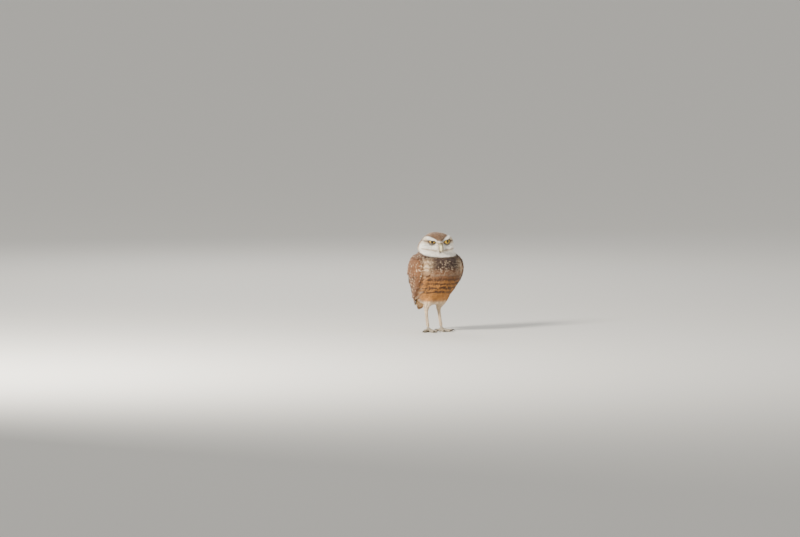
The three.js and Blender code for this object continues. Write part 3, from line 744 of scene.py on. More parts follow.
# The way that feathers lie: down and back on the body, away from the bill and the eyes on the head.
def lieAt(points, normals, at, wing, down):
    lie = np.tile([0, 0.36, -0.93], (len(points), 1))
    lie = blend(lie, np.array([0, 0.1, -1.0]), at.leg)
    ahead = unit(points - fromHead([0, -26, 6]))
    ahead[:, 2] -= 0.4 * fade(8, -10, at.headZ)
    lie = blend(lie, ahead, at.head)
    for side in (-1, 1):
        away = points - eyeOf(side)[0]
        gap = np.linalg.norm(away, axis=1)
        across = (away * headAcross).sum(1)
        inward = np.where(across * side < 0, fade(9, 1, at.away), 0)
        away = away - headAcross * (across * inward)[:, None]
        lie = blend(lie, away / gap[:, None], at.face * fade(19, 11, gap))
    lie = blend(lie, down, wing)
    lie -= normals * (lie * normals).sum(1)[:, None]
    return unit(lie)


headAcross = fromHead([1, 0, 0]) - fromHead([0, 0, 0])
wingRun = wingPlace(chartAcross, np.minimum(chartDown, 0.99) + 0.01, chartLift) - chartPlaces
wingRun = unit(wingRun)[wingIndex] * np.where(skinPoints[:, :1] < 0, [-1, 1, 1], [1, 1, 1])
wingShare = np.where(onWing, fade(9, 4, wingGap), 0)
skinLook, where = plumageAt(skinPoints, wingShare)
skinLie = lieAt(skinPoints, skinNormals, where, wingShare, wingRun)

# The skin's own piece


# Where places go on a flat sheet, and which of them are on the head.
def unwrap(points):
    at = mapOf(points)
    headTurn = np.arctan2(at.headX, -at.headY) / (2 * math.pi) + 0.5
    headRise = np.arctan2(at.headZ, np.hypot(at.headX, at.headY)) / math.pi + 0.5
    bodyTurn = np.arctan2(at.x, 4 - at.y) / (2 * math.pi) + 0.5
    onHead = at.head > 0.5
    return np.stack([np.where(onHead, headTurn, bodyTurn),
                     np.where(onHead, headRise, (at.z - 30) / 240)], 1), onHead


skinSpots, skinOnHead = unwrap(skinPoints)
skinMix = skinLook["pattern"].max(1) * 0.4
setValues(skinMesh, "ground", blend(skinLook["ground"], skinLook["mark"], skinMix) * 0.8)
skinMesh.vertices.foreach_set("co", toRow(skinPoints).ravel())
skinMesh.update()
skinMesh.polygons.foreach_set("use_smooth", [True] * len(skinMesh.polygons))
corners = skinSpots[skinQuads]
cornerHead = skinOnHead[skinQuads][:, :1].repeat(4, 1)
turns = corners[..., 0]
turns = np.where((np.ptp(turns, axis=1)[:, None] > 0.5) & (turns < 0.5), turns + 1, turns)
sheetUv = np.stack([0.02 + turns * 0.92, corners[..., 1] * 0.5 + np.where(cornerHead, 0.48, 0.0)], -1)
layer = skinMesh.uv_layers.new(name="OFBake")
layer.data.foreach_set("uv", np.clip(sheetUv, 0.002, 0.998).astype(np.float32).ravel())
place(objectOf("skin", skinMesh, skinMaterial()), "plumage", *fleshNodes)
print("skin made:", len(skinPoints), "points")

# Feather shapes: at each step of a vane, how far along its shaft and its rim are, and its width

featherPlans = {
    "soft": {"columns": 2, "rows": 9, "notch": 0.2, "steps": (0, 0.17, 0.34, 0.52, 0.7, 0.86, 1),
             "shaftAlong": (0, 0.2, 0.4, 0.58, 0.75, 0.9, 1.0),
             "rimAlong": (0, 0.27, 0.5, 0.7, 0.86, 0.96, 1.0),
             "width": (0.3, 0.78, 1, 0.98, 0.82, 0.5, 0.1)},
    "fine": {"columns": 2, "rows": 5, "notch": 0.12, "steps": (0, 0.25, 0.5, 0.75, 1),
             "shaftAlong": (0, 0.28, 0.55, 0.8, 1.0), "rimAlong": (0, 0.33, 0.63, 0.88, 1.0),
             "width": (0.5, 1, 0.9, 0.58, 0.08)},
    "firm": {"columns": 6, "rows": 20, "notch": 0.03, "steps": (0, 0.1, 0.3, 0.6, 0.8, 0.92, 1),
             "shaftAlong": (0, 0.1, 0.3, 0.58, 0.78, 0.9, 1.0),
             "rimAlong": (0, 0.14, 0.36, 0.66, 0.86, 0.96, 1.0),
             "width": (0.35, 0.7, 0.93, 1, 0.9, 0.66, 0.16)},
    "covert": {"columns": 4, "rows": 14, "notch": 0.07, "steps": (0, 0.17, 0.34, 0.52, 0.7, 0.86, 1),
               "shaftAlong": (0, 0.18, 0.38, 0.56, 0.74, 0.89, 1.0),
               "rimAlong": (0, 0.24, 0.46, 0.66, 0.84, 0.95, 1.0),
               "width": (0.35, 0.8, 1, 1, 0.88, 0.62, 0.14)}}
atRim = 0.999  # the share of a vane's half that counts as its rim


# One feather as a thin closed shell: two faces that share their rim.
def featherShape(plan):
    bm = bmesh.new()
    bmesh.ops.create_grid(bm, x_segments=plan["columns"], y_segments=plan["rows"], size=1)
    under = bmesh.ops.duplicate(bm, geom=bm.faces[:])["geom"]
    bmesh.ops.reverse_faces(bm, faces=[part for part in under if isinstance(part, bmesh.types.BMFace)])

    def inner(vert):
        return abs(vert.co.x) < atRim and abs(vert.co.y) < atRim

    for vert in vertsIn(under):
        vert.co.z = -1 if inner(vert) else 0
    bmesh.ops.remove_doubles(bm, verts=bm.verts[:], dist=1e-4)
    for vert in bm.verts:
        if vert.co.z > -0.5 and inner(vert):
            vert.co.z = 1
    bm.verts.index_update()
    raw = np.array([v.co for v in bm.verts])
    quads = np.array([[v.index for v in f.verts] for f in bm.faces], np.int32)
    bm.free()
    across, share = raw[:, 0], (raw[:, 1] + 1) / 2
    shaftAlong, rimAlong, width = (np.interp(share, plan["steps"], plan[key])
                                   for key in ("shaftAlong", "rimAlong", "width"))
    beside = np.abs(across) > atRim
    rows = np.round(share * plan["rows"]).astype(int)
    notch = 1 - plan["notch"] * (rows % 2) * beside * fade(0.15, 0.5, share)
    return {"across": across, "along": lerp(shaftAlong, rimAlong, np.abs(across) ** 1.3),
            "wide": across * width * notch, "up": raw[:, 2] * (1 - 0.6 * np.abs(across)), "quads": quads,
            "rim": beside | (np.abs(raw[:, 1]) > atRim), "loose": share * beside}


featherShapes = {name: featherShape(plan) for name, plan in featherPlans.items()}
sheetMargin = 0.02
sheetPatch = (0.0014, 0.0028)  # half the width and the length of one feather on the flat sheet


# Feathers as one piece. Stations are the places along each shaft, the ways to its side and its normals.
def joinedFeathers(name, template, stations, look, material, slot, replaced=(), seed=1):
    random = np.random.default_rng(seed)
    shape = featherShapes[template]
    points, sides, normals = stations
    count, steps = points.shape[:2]
    size = len(shape["across"])
    run = np.clip(shape["along"], 0, 1) * (steps - 1)
    i = np.minimum(run.astype(int), steps - 2)
    part = (run - i)[None, :, None]

    def at(values):
        return values[:, i] * (1 - part) + values[:, i + 1] * part

    width = look["halfWidth"][:, None]
    ragged = random.normal(0, look["ragged"], (count, size, 2)) * shape["loose"][None, :, None]
    wide = shape["wide"][None] * width * (1 + ragged[..., 0])
    sink = look["camber"] * shape["across"][None] ** 2 * width
    up = shape["up"][None] * look["thickness"] - sink
    ahead = unit(np.diff(points, axis=1, append=2 * points[:, -1:] - points[:, -2:-1]))
    slide = ragged[..., 1] * width * 1.2
    solid = at(points) + at(sides) * wide[..., None] + at(normals) * up[..., None]
    solid = solid + at(ahead) * slide[..., None]
    quads = (shape["quads"][None] + (np.arange(count) * size)[:, None, None]).reshape(-1, 4)
    mesh = bpy.data.meshes.new(name)
    mesh.vertices.add(count * size)
    mesh.vertices.foreach_set("co", toRow(solid).astype(np.float32).ravel())
    mesh.loops.add(quads.size)
    mesh.loops.foreach_set("vertex_index", quads.ravel())
    mesh.polygons.add(len(quads))
    mesh.polygons.foreach_set("loop_start", np.arange(0, quads.size, 4, dtype=np.int32))
    mesh.update(calc_edges=True)
    mesh.polygons.foreach_set("use_smooth", [True] * len(quads))
    ends = np.empty(len(mesh.edges) * 2, np.int32)
    mesh.edges.foreach_get("vertices", ends)
    rim = np.tile(shape["rim"], count)[ends].reshape(-1, 2).all(1)
    mesh.attributes.new("sharp_edge", "BOOLEAN", "EDGE").data.foreach_set("value", rim)
    setUv(mesh, "vane", np.tile(np.stack([0.5 + shape["across"] / 2, shape["along"]], 1), (count, 1)))
    spots, _ = unwrap(points[:, 0])
    low, high = spots.min(0), spots.max(0)
    spots = sheetMargin + (1 - 2 * sheetMargin) * (spots - low) / np.maximum(high - low, 1e-6)
    patch = np.stack([shape["across"] * sheetPatch[0], (shape["along"] - 0.5) * sheetPatch[1]], 1)
    setUv(mesh, "OFBake", np.clip(spots[:, None] + patch[None], 0.001, 0.999).reshape(-1, 2))
    for key in ("ground", "mark", "pattern"):
        setValues(mesh, key, np.repeat(look[key], size, 0))
    setValues(mesh, "chance", np.repeat(random.random(count), size))
    rootPhase, tipPhase = look["phase"]
    setValues(mesh, "phase", lerp(rootPhase[:, None], tipPhase[:, None], shape["along"][None]).ravel())
    mesh.validate()
    place(objectOf(name, mesh, material), slot, *replaced)
    print(name, count, "feathers,", 2 * len(quads), "triangles")


# Small feathers: roots spread evenly over the skin, each feather laid along it

coatRandom = np.random.default_rng(7)
coatPlan = {"tries": 12, "layRows": 7, "sunk": 0.5, "camber": 0.16, "thickness": 0.07, "sizeSpread": 0.1,
            "toneSpread": 0.09, "barPitch": 8.2}  # the pitch is from one row of bars on the belly to the next
around = [(dx, dy, dz) for dx in (-1, 0, 1) for dy in (-1, 0, 1) for dz in (-1, 0, 1)]


# Places on the allowed skin, no two nearer than the spacing there, with the skin point that each belongs to.
def spreadRoots(allowed, spacing):
    quads = skinQuads[allowed[skinQuads].all(1)]
    a, b, c, d = (skinPoints[quads[:, k]] for k in range(4))
    halves = (np.cross(b - a, c - a), np.cross(c - a, d - a))
    area = sum(np.linalg.norm(half, axis=1) for half in halves) / 2
    weight = area / spacing[quads[:, 0]] ** 2
    tries = int(coatPlan["tries"] * weight.sum())
    picked = coatRandom.choice(len(quads), tries, p=weight / weight.sum())
    u, v = coatRandom.random((2, len(picked)))[..., None]
    spots = lerp(lerp(a[picked], b[picked], u), lerp(d[picked], c[picked], u), v)
    gaps = spacing[quads[picked, 0]]
    cell = gaps.max()
    grid, chosen = {}, []
    for i, (spot, gap) in enumerate(zip(spots.tolist(), gaps.tolist())):
        x, y, z = (int(part // cell) for part in spot)
        near = (other for dx, dy, dz in around for other in grid.get((x + dx, y + dy, z + dz), ()))
        if all(math.dist(spot, other) >= gap for other in near):
            grid.setdefault((x, y, z), []).append(spot)
            chosen.append(i)
    return spots[chosen], quads[picked[chosen], 0]


def layFeathers(roots, lies, lengths, heights):
    rows, sunk = coatPlan["layRows"], coatPlan["sunk"]
    points = np.empty((len(roots), rows, 3))
    normals = np.empty_like(points)
    for i, (root, lie, length) in enumerate(zip(roots, lies, lengths)):
        spot, ahead, step = Vector(root), Vector(lie), length / (rows - 1)
        for row in range(rows):  # each step along the skin is brought back down to it
            hit, _, index, _ = surface.find_nearest(spot)
            normal = Vector(faceNormals[index])
            ahead = (ahead - normal * ahead.dot(normal)).normalized()
            points[i, row], normals[i, row] = hit, normal
            spot = hit + ahead * step
    smooth = normals.copy()
    smooth[:, 1:-1] = (normals[:, :-2] + 2 * normals[:, 1:-1] + normals[:, 2:]) / 4
    normals = unit(smooth)
    shares = np.linspace(0, 1, rows)[None, :, None]
    points = points + normals * (-sunk + (heights[:, None, None] + sunk) * shares ** 0.75)
    along = unit(np.gradient(points, axis=1))
    sides = unit(np.cross(along, normals))
    return points, sides, unit(np.cross(sides, along))


# The phase of the bars at a feather's root and tip, from their heights, so that the bars line up.
def barPhases(points):
    return [-points[:, end, 2] / coatPlan["barPitch"] for end in (0, -1)]


def growCoat(name, allowed, seed, ragged, twist=9, template="soft", slot="plumage"):
    roots, source = spreadRoots(allowed, skinLook["spacing"])
    count = len(roots)
    lies, normals = skinLie[source], skinNormals[source]
    bend = np.radians(coatRandom.normal(0, twist, count))[:, None]
    lies = lies * np.cos(bend) + np.cross(normals, lies) * np.sin(bend)
    vary = coatRandom.normal(1, coatPlan["sizeSpread"], (3, count))
    stations = layFeathers(roots, lies, skinLook["length"][source] * vary[0],
                           skinLook["height"][source] * vary[1])
    tips = stations[0][:, -2]  # a feather takes its markings from where its own tip shows
    look, _ = plumageAt(tips, wingShare[source])
    look["ground"] = look["ground"] * coatRandom.normal(1, coatPlan["toneSpread"], (count, 1))
    look.update(halfWidth=skinLook["halfWidth"][source] * vary[2], ragged=ragged, camber=coatPlan["camber"],
                thickness=coatPlan["thickness"], phase=barPhases(stations[0]))
    joinedFeathers(name, template, stations, look, softVane, slot, (), seed)


inEye = np.zeros(len(skinPoints), bool)
for side in (-1, 1):
    share, reach = lidShare(side, skinPoints)
    inEye |= (reach < 12) & (share < 0.07)
free = ~covered & ~inEye
head = where.head > 0.5
face = head & (where.face > 0.35)
overEyes = where.headZ > 8
throat = (where.throat > 0.25) & ~head
leg = (where.leg > 0.5) & (where.z < 60)
fore = (where.turn < 84) & ~head & ~leg & ~throat
barredHeight, ankleHeight = 104, 15
growCoat("coat_brow", face & overEyes & free, 11, 0.12, twist=6, template="fine")
growCoat("coat_cheeks", ((face & ~overEyes) | throat) & free, 17, 0.12, twist=6, template="fine")
growCoat("coat_crown", head & ~face & free, 12, 0.12, twist=6, template="fine")
growCoat("coat_breast", fore & (where.z > barredHeight) & free, 13, 0.1)
growCoat("coat_belly", fore & (where.z <= barredHeight) & free, 14, 0.14)
growCoat("coat_back", ~fore & ~head & ~leg & ~throat & free, 15, 0.09)
growCoat("coat_legs", leg & free & (where.z > ankleHeight), 16, 0.15, template="fine", slot="leg_feather")

# Wings: tiers of long feathers on the folded wing's own surface, as shares across and down it

barPattern, spotPattern = (1, 0, 0), (0, 1, 0)
wingTiers = [
    {"name": "primaries", "count": 8, "rootsAcross": (0.04, 0.36), "tipsAcross": (0.05, 0.78),
     "rootsDown": (0.34, 0.34), "tipsDown": (0.995, 0.99, 0.965, 0.93, 0.88, 0.83), "lift": (1.4, 1.9),
     "halfWidth": (3.7, 4.2), "shape": "firm", "pattern": barPattern},
    {"name": "secondaries", "count": 11, "rootsAcross": (0.28, 0.97), "tipsAcross": (0.33, 1.03),
     "rootsDown": (0.34, 0.3), "tipsDown": (0.8, 0.78, 0.77, 0.78, 0.8), "lift": (1.8, 3.0),
     "halfWidth": (4.4, 5.3), "shape": "firm", "pattern": barPattern},
    {"name": "greater", "count": 12, "rootsAcross": (0.05, 0.94), "tipsAcross": (0.06, 0.95),
     "rootsDown": (0.34, 0.3), "tipsDown": (0.6, 0.585, 0.54), "lift": (2.0, 4.0),
     "halfWidth": (3.8, 4.7), "shape": "firm", "pattern": spotPattern},
    {"name": "median", "count": 14, "rootsAcross": (0.04, 0.95), "tipsAcross": (0.04, 0.96),
     "rootsDown": (0.27, 0.24), "tipsDown": (0.48, 0.47, 0.43), "lift": (1.8, 4.7),
     "halfWidth": (3.1, 3.9), "shape": "covert", "pattern": spotPattern},
    {"name": "lesser", "count": 16, "rootsAcross": (0.03, 0.96), "tipsAcross": (0.03, 0.97),
     "rootsDown": (0.19, 0.16), "tipsDown": (0.385, 0.375, 0.34), "lift": (1.6, 5.0),
     "halfWidth": (2.7, 3.4), "shape": "covert", "pattern": spotPattern},
    {"name": "scapulars", "count": 10, "rootsAcross": (0.86, 0.97), "tipsAcross": (0.78, 0.97),
     "rootsDown": (0.03, 0.24), "tipsDown": (0.3, 0.37, 0.44, 0.5), "lift": (2.0, 4.6),
     "halfWidth": (3.8, 4.4), "shape": "covert", "pattern": spotPattern}]
wingPlan = {"tilt": 9, "steps": 9, "seeds": {1: 31, -1: 47}}


def chartStations(across, down, lift, tilt, side):
    points = wingPlace(across, down, lift)
    ahead = unit(wingPlace(across, down + 0.01, lift) - points)
    back = unit(wingPlace(across + 0.01, down, lift) - points)
    normal = unit(np.cross(ahead, back))
    front = unit(np.cross(unit(np.gradient(points, axis=1)), normal))
    tilt = np.radians(tilt)[:, None, None]
    sides = front * np.cos(tilt) + normal * np.sin(tilt)
    normals = normal * np.cos(tilt) - front * np.sin(tilt)
    flip = np.array([side, 1, 1])
    return points * flip, sides * flip * side, normals * flip


def tierStations(tier, random, side):
    share = np.linspace(0, 1, tier["count"])
    tips = np.interp(share, np.linspace(0, 1, len(tier["tipsDown"])), tier["tipsDown"])
    tips = tips + random.uniform(-0.014, 0.014, tier["count"])
    along = np.linspace(0, 1, wingPlan["steps"])[None]
    rootsAcross, tipsAcross = (lerp(*tier[key], share)[:, None] for key in ("rootsAcross", "tipsAcross"))
    across = lerp(rootsAcross, tipsAcross, along)
    down = lerp(lerp(*tier["rootsDown"], share)[:, None], tips[:, None], along)
    lift = lerp(*tier["lift"], along) + random.normal(0, 0.12, (tier["count"], 1))
    tilt = wingPlan["tilt"] * np.minimum(1, 4 * share) + random.normal(0, 1.2, tier["count"])
    return chartStations(across, down, lift, tilt, side)


def growWing(name, side):
    random = np.random.default_rng(wingPlan["seeds"][side])
    replaced = [name]
    for number, tier in enumerate(wingTiers):
        count = tier["count"]
        stations = tierStations(tier, random, side)
        tone = random.uniform(0.1, 0.6, count)[:, None]
        width = lerp(*tier["halfWidth"], np.linspace(0, 1, count))
        look = {"halfWidth": width * random.uniform(0.95, 1.05, count),
                "ground": mixed("brown", "rufous", tone) * random.normal(1, 0.06, (count, 1)),
                "mark": mixed("buff", "cream", random.uniform(0, 0.9, count)[:, None]),
                "pattern": np.array(tier["pattern"]) * random.uniform(0.7, 1, (count, 1)),
                "phase": [random.uniform(-0.3, 0.3, count), random.uniform(4.6, 5.2, count)],
                "ragged": 0.035, "camber": 0.13, "thickness": 0.14}
        joinedFeathers(f"{name}_{tier['name']}", tier["shape"], stations, look, firmVane, "wing", replaced,
                       wingPlan["seeds"][side] + number)
        replaced = []


# Small feathers scattered over the shoulder and over the wing's front and back edges, from the body onto it
smallPlan = {"gap": 2.0, "tries": 18000, "fringe": 0.022, "acrossSize": 62, "downSize": 104, "steps": 7,
             "length": (9.5, 13), "halfWidth": 2.2, "drift": 0.17, "fall": 0.12, "rise": (-0.9, 1.9),
             "fieldAcross": (-0.22, 1.2), "fieldDown": (-0.16, 0.9), "topHeight": 2.8, "topLength": 15,
             "zones": [((-0.2, 1.18), (-0.16, 0.25)), ((-0.22, 0.0), (0.0, 0.72)), ((1.0, 1.2), (0.0, 0.9)),
                       ((0.9, 1.0), (0.45, 0.9))]}
wingThickness = {"down": (0.0, 0.14, 0.36, 0.5, 0.8, 1.0), "height": (3.6, 5.2, 5.2, 4.4, 3.4, 2.4)}


# The height of the folded wing above the body's side, falling to nothing past its edges.
def wingTop(across, down):
    thick = np.interp(down, wingThickness["down"], wingThickness["height"])
    return thick * fade(-0.05, 0.1, down) * fade(-0.06, 0.1, across) * fade(1.07, 0.92, across)


def inZones(spot):
    across, down = spot
    return any(low < across < high and top < down < bottom
               for (low, high), (top, bottom) in smallPlan["zones"])


def smallRoots(random):
    field = np.array([smallPlan["fieldAcross"], smallPlan["fieldDown"]])
    grid, chosen = {}, []
    for spot in random.uniform(field[:, 0], field[:, 1], (smallPlan["tries"], 2)):
        loose = spot + random.normal(0, smallPlan["fringe"], 2)
        if not inZones(loose):  # the field ends in scattered feathers, not in a line
            continue
        flat = spot * (smallPlan["acrossSize"], smallPlan["downSize"])
        key = tuple((flat // smallPlan["gap"]).astype(int))
        near = [grid.get((key[0] + i, key[1] + j)) for i in (-1, 0, 1) for j in (-1, 0, 1)]
        if all(other is None or math.dist(other, flat) > smallPlan["gap"] for other in near):
            grid[key] = flat
            chosen.append(spot)
    return np.array(chosen)


def growSmallCoverts(name, side, seed):
    random = np.random.default_rng(seed)
    root = smallRoots(random)
    count = len(root)
    rootAcross, rootDown = root[:, :1], root[:, 1:]
    along = np.linspace(0, 1, smallPlan["steps"])[None]
    length = lerp(*smallPlan["length"], fade(0, 0.3, root[:, 1])) * random.normal(1, 0.1, count)
    drift = smallPlan["drift"] * (fade(0.2, -0.1, root[:, 0]) - fade(0.8, 1.1, root[:, 0]))
    drift = drift + random.normal(0, 0.02, count)
    run = length / np.hypot(drift * smallPlan["acrossSize"], smallPlan["fall"] * smallPlan["downSize"])
    across = rootAcross + (drift * run)[:, None] * along
    down = rootDown + (smallPlan["fall"] * run)[:, None] * along
    frontEdge = 0.9 * fade(0.05, -0.05, rootAcross) * fade(0.2, 0.35, rootDown)  # feathers lie flatter there
    rise = lerp(*smallPlan["rise"], along ** 0.75) - frontEdge * along
    lift = wingTop(across, down) + rise + random.normal(0, 0.15, (count, 1))
    stations = chartStations(across, down, lift, random.normal(0, 3, count), side)
    points = stations[0]
    tipAcross, tipDown = across[:, -2], down[:, -2]
    onto = fade(-0.05, 0.1, tipDown) * fade(-0.05, 0.08, tipAcross) * fade(1.1, 0.95, tipAcross)
    look, where = plumageAt(points[:, -2], onto)
    ground = look["ground"] * random.normal(1, coatPlan["toneSpread"], (count, 1))
    halfWidth = smallPlan["halfWidth"] * random.uniform(0.85, 1.15, count)
    kept = (where.head < 0.2) & (where.throat < 0.15) & (where.z < 151)  # the face keeps its own small ones
    reach = np.linalg.norm(points[:, -1] - points[:, 0], axis=1)
    above = np.array([surface.find_nearest(Vector(spot))[3] for spot in points[:, 0]])
    flat = (above < smallPlan["topHeight"]) & (reach < smallPlan["topLength"])
    kept &= (root[:, 1] > 0.05) | flat  # along the top edge only those that lie on the back
    look = {"ground": ground[kept], "mark": look["mark"][kept], "pattern": look["pattern"][kept],
            "phase": [phase[kept] for phase in barPhases(points)], "halfWidth": halfWidth[kept],
            "ragged": 0.12, "camber": 0.15, "thickness": coatPlan["thickness"]}
    joinedFeathers(name, "soft", [part[kept] for part in stations], look, softVane, "wing", (), seed)


growWing("wing_left", 1)
growWing("wing_right", -1)
growSmallCoverts("small_coverts_left", 1, 81)
growSmallCoverts("small_coverts_right", -1, 83)

# Tail: the middle pair on top and each outer pair a step lower, with short coverts over and under its root

tailPlan = {"root": (0, 33, 86), "tip": (0, 51.5, 38), "length": 51, "pairs": 6, "topLift": 2.0, "step": 0.62,
            "halfWidth": 4.3, "spread": (0.8, 1.5), "steps": 9, "droop": 1.2, "droopSpan": 9,
            "rounding": 0.008, "rootInset": 5.0, "lean": 5.0}
coverPlan = {"halfSpan": 9.5, "spread": (0.75, 1.1), "droop": 1.6, "steps": 7, "tipScatter": 1.5, "rows": [
    {"up": (2.4, 4.4), "reach": (27, 42), "halfWidth": 3.1, "count": 8},
    {"up": (2.8, 6.0), "reach": (19, 35), "halfWidth": 3.1, "count": 9},
    {"up": (-2.2, -5.0), "reach": (25, 41), "halfWidth": 3.2, "count": 8},
    {"up": (-2.4, -6.4), "reach": (15, 33), "halfWidth": 3.3, "count": 9}]}
tailRoot = np.array(tailPlan["root"], float)
tailAhead = unit(np.array(tailPlan["tip"], float) - tailRoot)
tailUp = -np.cross(tailAhead, leftward)


def tailPlace(reach, level, spread):
    return tailRoot + tailAhead * reach[..., None] + tailUp * level[..., None] + leftward * spread[..., None]


def growTail():
    random = np.random.default_rng(5)
    ranks = np.repeat(np.arange(tailPlan["pairs"]), 2)
    hands = np.tile([-1, 1], tailPlan["pairs"])
    count = len(ranks)
    along = np.linspace(0, 1, tailPlan["steps"])[None]
    tips = tailPlan["length"] * (1 - tailPlan["rounding"] * ranks ** 2) + random.uniform(-0.5, 0.5, count)
    spread = (hands * (ranks + 0.5))[:, None] * lerp(*tailPlan["spread"], along)
    topmost = 0.3 * (hands > 0) * (ranks == 0)  # keeps the middle pair apart
    level = (tailPlan["topLift"] - tailPlan["step"] * ranks - topmost)[:, None] + 0 * along
    level = level - tailPlan["droop"] * (np.abs(spread) / tailPlan["droopSpan"]) ** 2
    points = tailPlace(lerp(tailPlan["rootInset"], tips[:, None], along), level, spread)
    lean = np.radians(tailPlan["lean"]) * np.sign(spread[:, -1]) * (ranks > 0)
    normals = unit(tailUp + np.sin(lean)[:, None, None] * leftward + 0 * points)
    sides = unit(np.cross(unit(np.gradient(points, axis=1)), normals))
    look = {"halfWidth": tailPlan["halfWidth"] * random.uniform(0.96, 1.04, count), "ragged": 0.03,
            "ground": mixed("rufous", "sand", 0.6) * random.normal(1, 0.05, (count, 1)),
            "mark": np.tile(mixed("buff", "cream", 0.6), (count, 1)),
            "pattern": np.tile(barPattern, (count, 1)), "camber": 0.1, "thickness": 0.16,
            "phase": [np.zeros(count), np.full(count, 5.0)]}
    joinedFeathers("tail_feathers", "firm", (points, sides, normals), look, firmVane, "tail", ["tail"], 6)


def growTailCoverts(number, row):
    random = np.random.default_rng(60 + number)
    count = row["count"]
    offset = np.linspace(-1, 1, count)[:, None] * coverPlan["halfSpan"]
    top = np.sign(row["up"][1])
    along = np.linspace(0, 1, coverPlan["steps"])[None]
    level = lerp(*row["up"], along ** 0.7) - top * coverPlan["droop"] * (offset / coverPlan["halfSpan"]) ** 2
    level = level + random.normal(0, 0.2, (count, 1))
    scatter = coverPlan["tipScatter"]
    rootReach, tipReach = row["reach"]
    reach = lerp(rootReach, tipReach + random.uniform(-scatter, scatter, count)[:, None], along)
    points = tailPlace(reach, level, offset * lerp(*coverPlan["spread"], along))
    ahead = unit(np.gradient(points, axis=1))
    sides = unit(np.cross(ahead, tailUp * top + 0 * points))
    look, _ = plumageAt(points[:, -1], np.zeros(count))
    if top < 0:
        look["ground"] = mixed("buff", "cream", random.uniform(0.0, 0.4, (count, 1)))
        look["pattern"] = np.zeros((count, 3))
    look.update(halfWidth=row["halfWidth"] * random.uniform(0.9, 1.1, count), ragged=0.1, camber=0.12,
                thickness=0.08, phase=[np.zeros(count), np.full(count, 3.0)])
    normals = unit(np.cross(sides, ahead))
    joinedFeathers(f"tail_coverts_{number}", "soft", (points, sides, normals), look, softVane, "tail", (),
                   70 + number)


growTail()
for number, row in enumerate(coverPlan["rows"]):
    growTailCoverts(number, row)

# Eyes and lids


def eyeMaterial():
    wires = Wires("eye")
    ring = wires.attribute("ring", "Fac")  # degrees from the middle of the pupil
    iris = wires.mix(wires.fade(ring, *eyePlan["amberFade"]), eyePlan["yellow"], eyePlan["amber"])
    iris = wires.mix(wires.noise(900.0, 3.0) * 0.35, iris, "8A5F08")
    pupilEdge = wires.fade(ring, eyePlan["pupil"] - 0.8, eyePlan["pupil"] + 0.8)
    irisEdge = wires.fade(ring, eyePlan["iris"] - 1.5, eyePlan["iris"] + 1.5)
    colour = wires.mix(pupilEdge, (0.004, 0.0035, 0.003), iris)
    colour = wires.mix(irisEdge, colour, (0.02, 0.013, 0.008))
    return wires.finish(Base_Color=colour, Roughness=0.35, Coat_Weight=0.8, Coat_Roughness=0.02,
                        Specular_IOR_Level=0.1)


def lidMaterial():
    wires = Wires("eyelid")
    colour = wires.mix(wires.noise(1200.0, 4.0), tints["dusk"], tints["dark"] * 1.2)
    return wires.finish(Base_Color=colour, Normal=wires.bump(0.6, 0.0002, wires.noise(2500.0, 3.0)),
                        Roughness=0.55)


# The lids' section from inside the gap outwards: the share of the way to the outer circle, and the distance
# from the eye's centre.
lidProfile = [(-0.01, 7.5), (-0.015, 7.8), (0.0, 8.0), (0.02, 8.12), (0.05, 8.1), (0.1, 7.95), (0.25, 7.7),
              (0.45, 7.2)]
lidSides = 56


def makeBall(name, side, material):
    home, look, _, _ = eyeOf(side)
    ball = bmesh.new()
    bmesh.ops.create_uvsphere(ball, u_segments=64, v_segments=48, radius=eyeRadius)
    turned = Vector(look).to_track_quat("Z", "Y").to_matrix()
    bmesh.ops.rotate(ball, verts=ball.verts[:], cent=(0, 0, 0), matrix=turned)
    rings = [math.degrees(v.co.angle(Vector(look))) for v in ball.verts]
    bmesh.ops.translate(ball, verts=ball.verts[:], vec=Vector(home))
    obj = objectFromBmesh(name + "_ball", ball, material)
    setValues(obj.data, "ring", rings)
    place(obj, "eye", name)


def makeLids(name, side, material):
    home, look, across, above = eyeOf(side)
    low, high = eyePlan["openings"][side]
    lids = bmesh.new()
    ring = bmesh.ops.create_circle(lids, cap_ends=False, segments=lidSides, radius=1)["verts"]
    for step, (share, reach) in enumerate(lidProfile):
        if step:
            ring = nextRing(lids, ring)
        for k, vert in enumerate(ring):
            turn = 2 * math.pi * k / lidSides
            alpha = lerp(eyePlan["corner"], eyePlan["outer"], share) * math.cos(turn)
            beta = lerp(high if math.sin(turn) > 0 else -low, eyePlan["outer"], share) * math.sin(turn)
            way = look + across * math.tan(math.radians(alpha)) + above * math.tan(math.radians(beta))
            vert.co = Vector(home + unit(way) * reach)
    bmesh.ops.recalc_face_normals(lids, faces=lids.faces[:])
    place(objectFromBmesh(name + "_lids", lids, material), "plumage")


ballLook, lidLook = eyeMaterial(), lidMaterial()
for side, name in ((-1, "eye_right"), (1, "eye_left")):
    makeBall(name, side, ballLook)
    makeLids(name, side, lidLook)
print("eyes and lids made")

# Bill, in the head's frame, with its nostrils and the bristles round its root


def billMaterial():
    wires = Wires("bill_horn")
    local = wires.attribute("local", "Vector")
    _, share, _ = wires.parts(local)  # of the way from the bill's root to its tip
    stretched = wires.node("ShaderNodeMapping", Vector=local, Scale=(0.012, 0.003, 0.0))
    colour = wires.mix(wires.fade(share, 0.4, 1.0), "C3B98C", "E4DDB4")
    colour = wires.mix(wires.noise(420.0, 5.0, stretched) * 0.5, colour, "A89A66")
    colour = wires.mix(wires.fade(share, 0.47, 0.4), colour, "8C8466")  # the soft bare skin round the root
    return wires.finish(Base_Color=colour, Normal=wires.bump(0.35, 0.0002, wires.noise(1300.0, 3.0)),
                        Roughness=0.38)


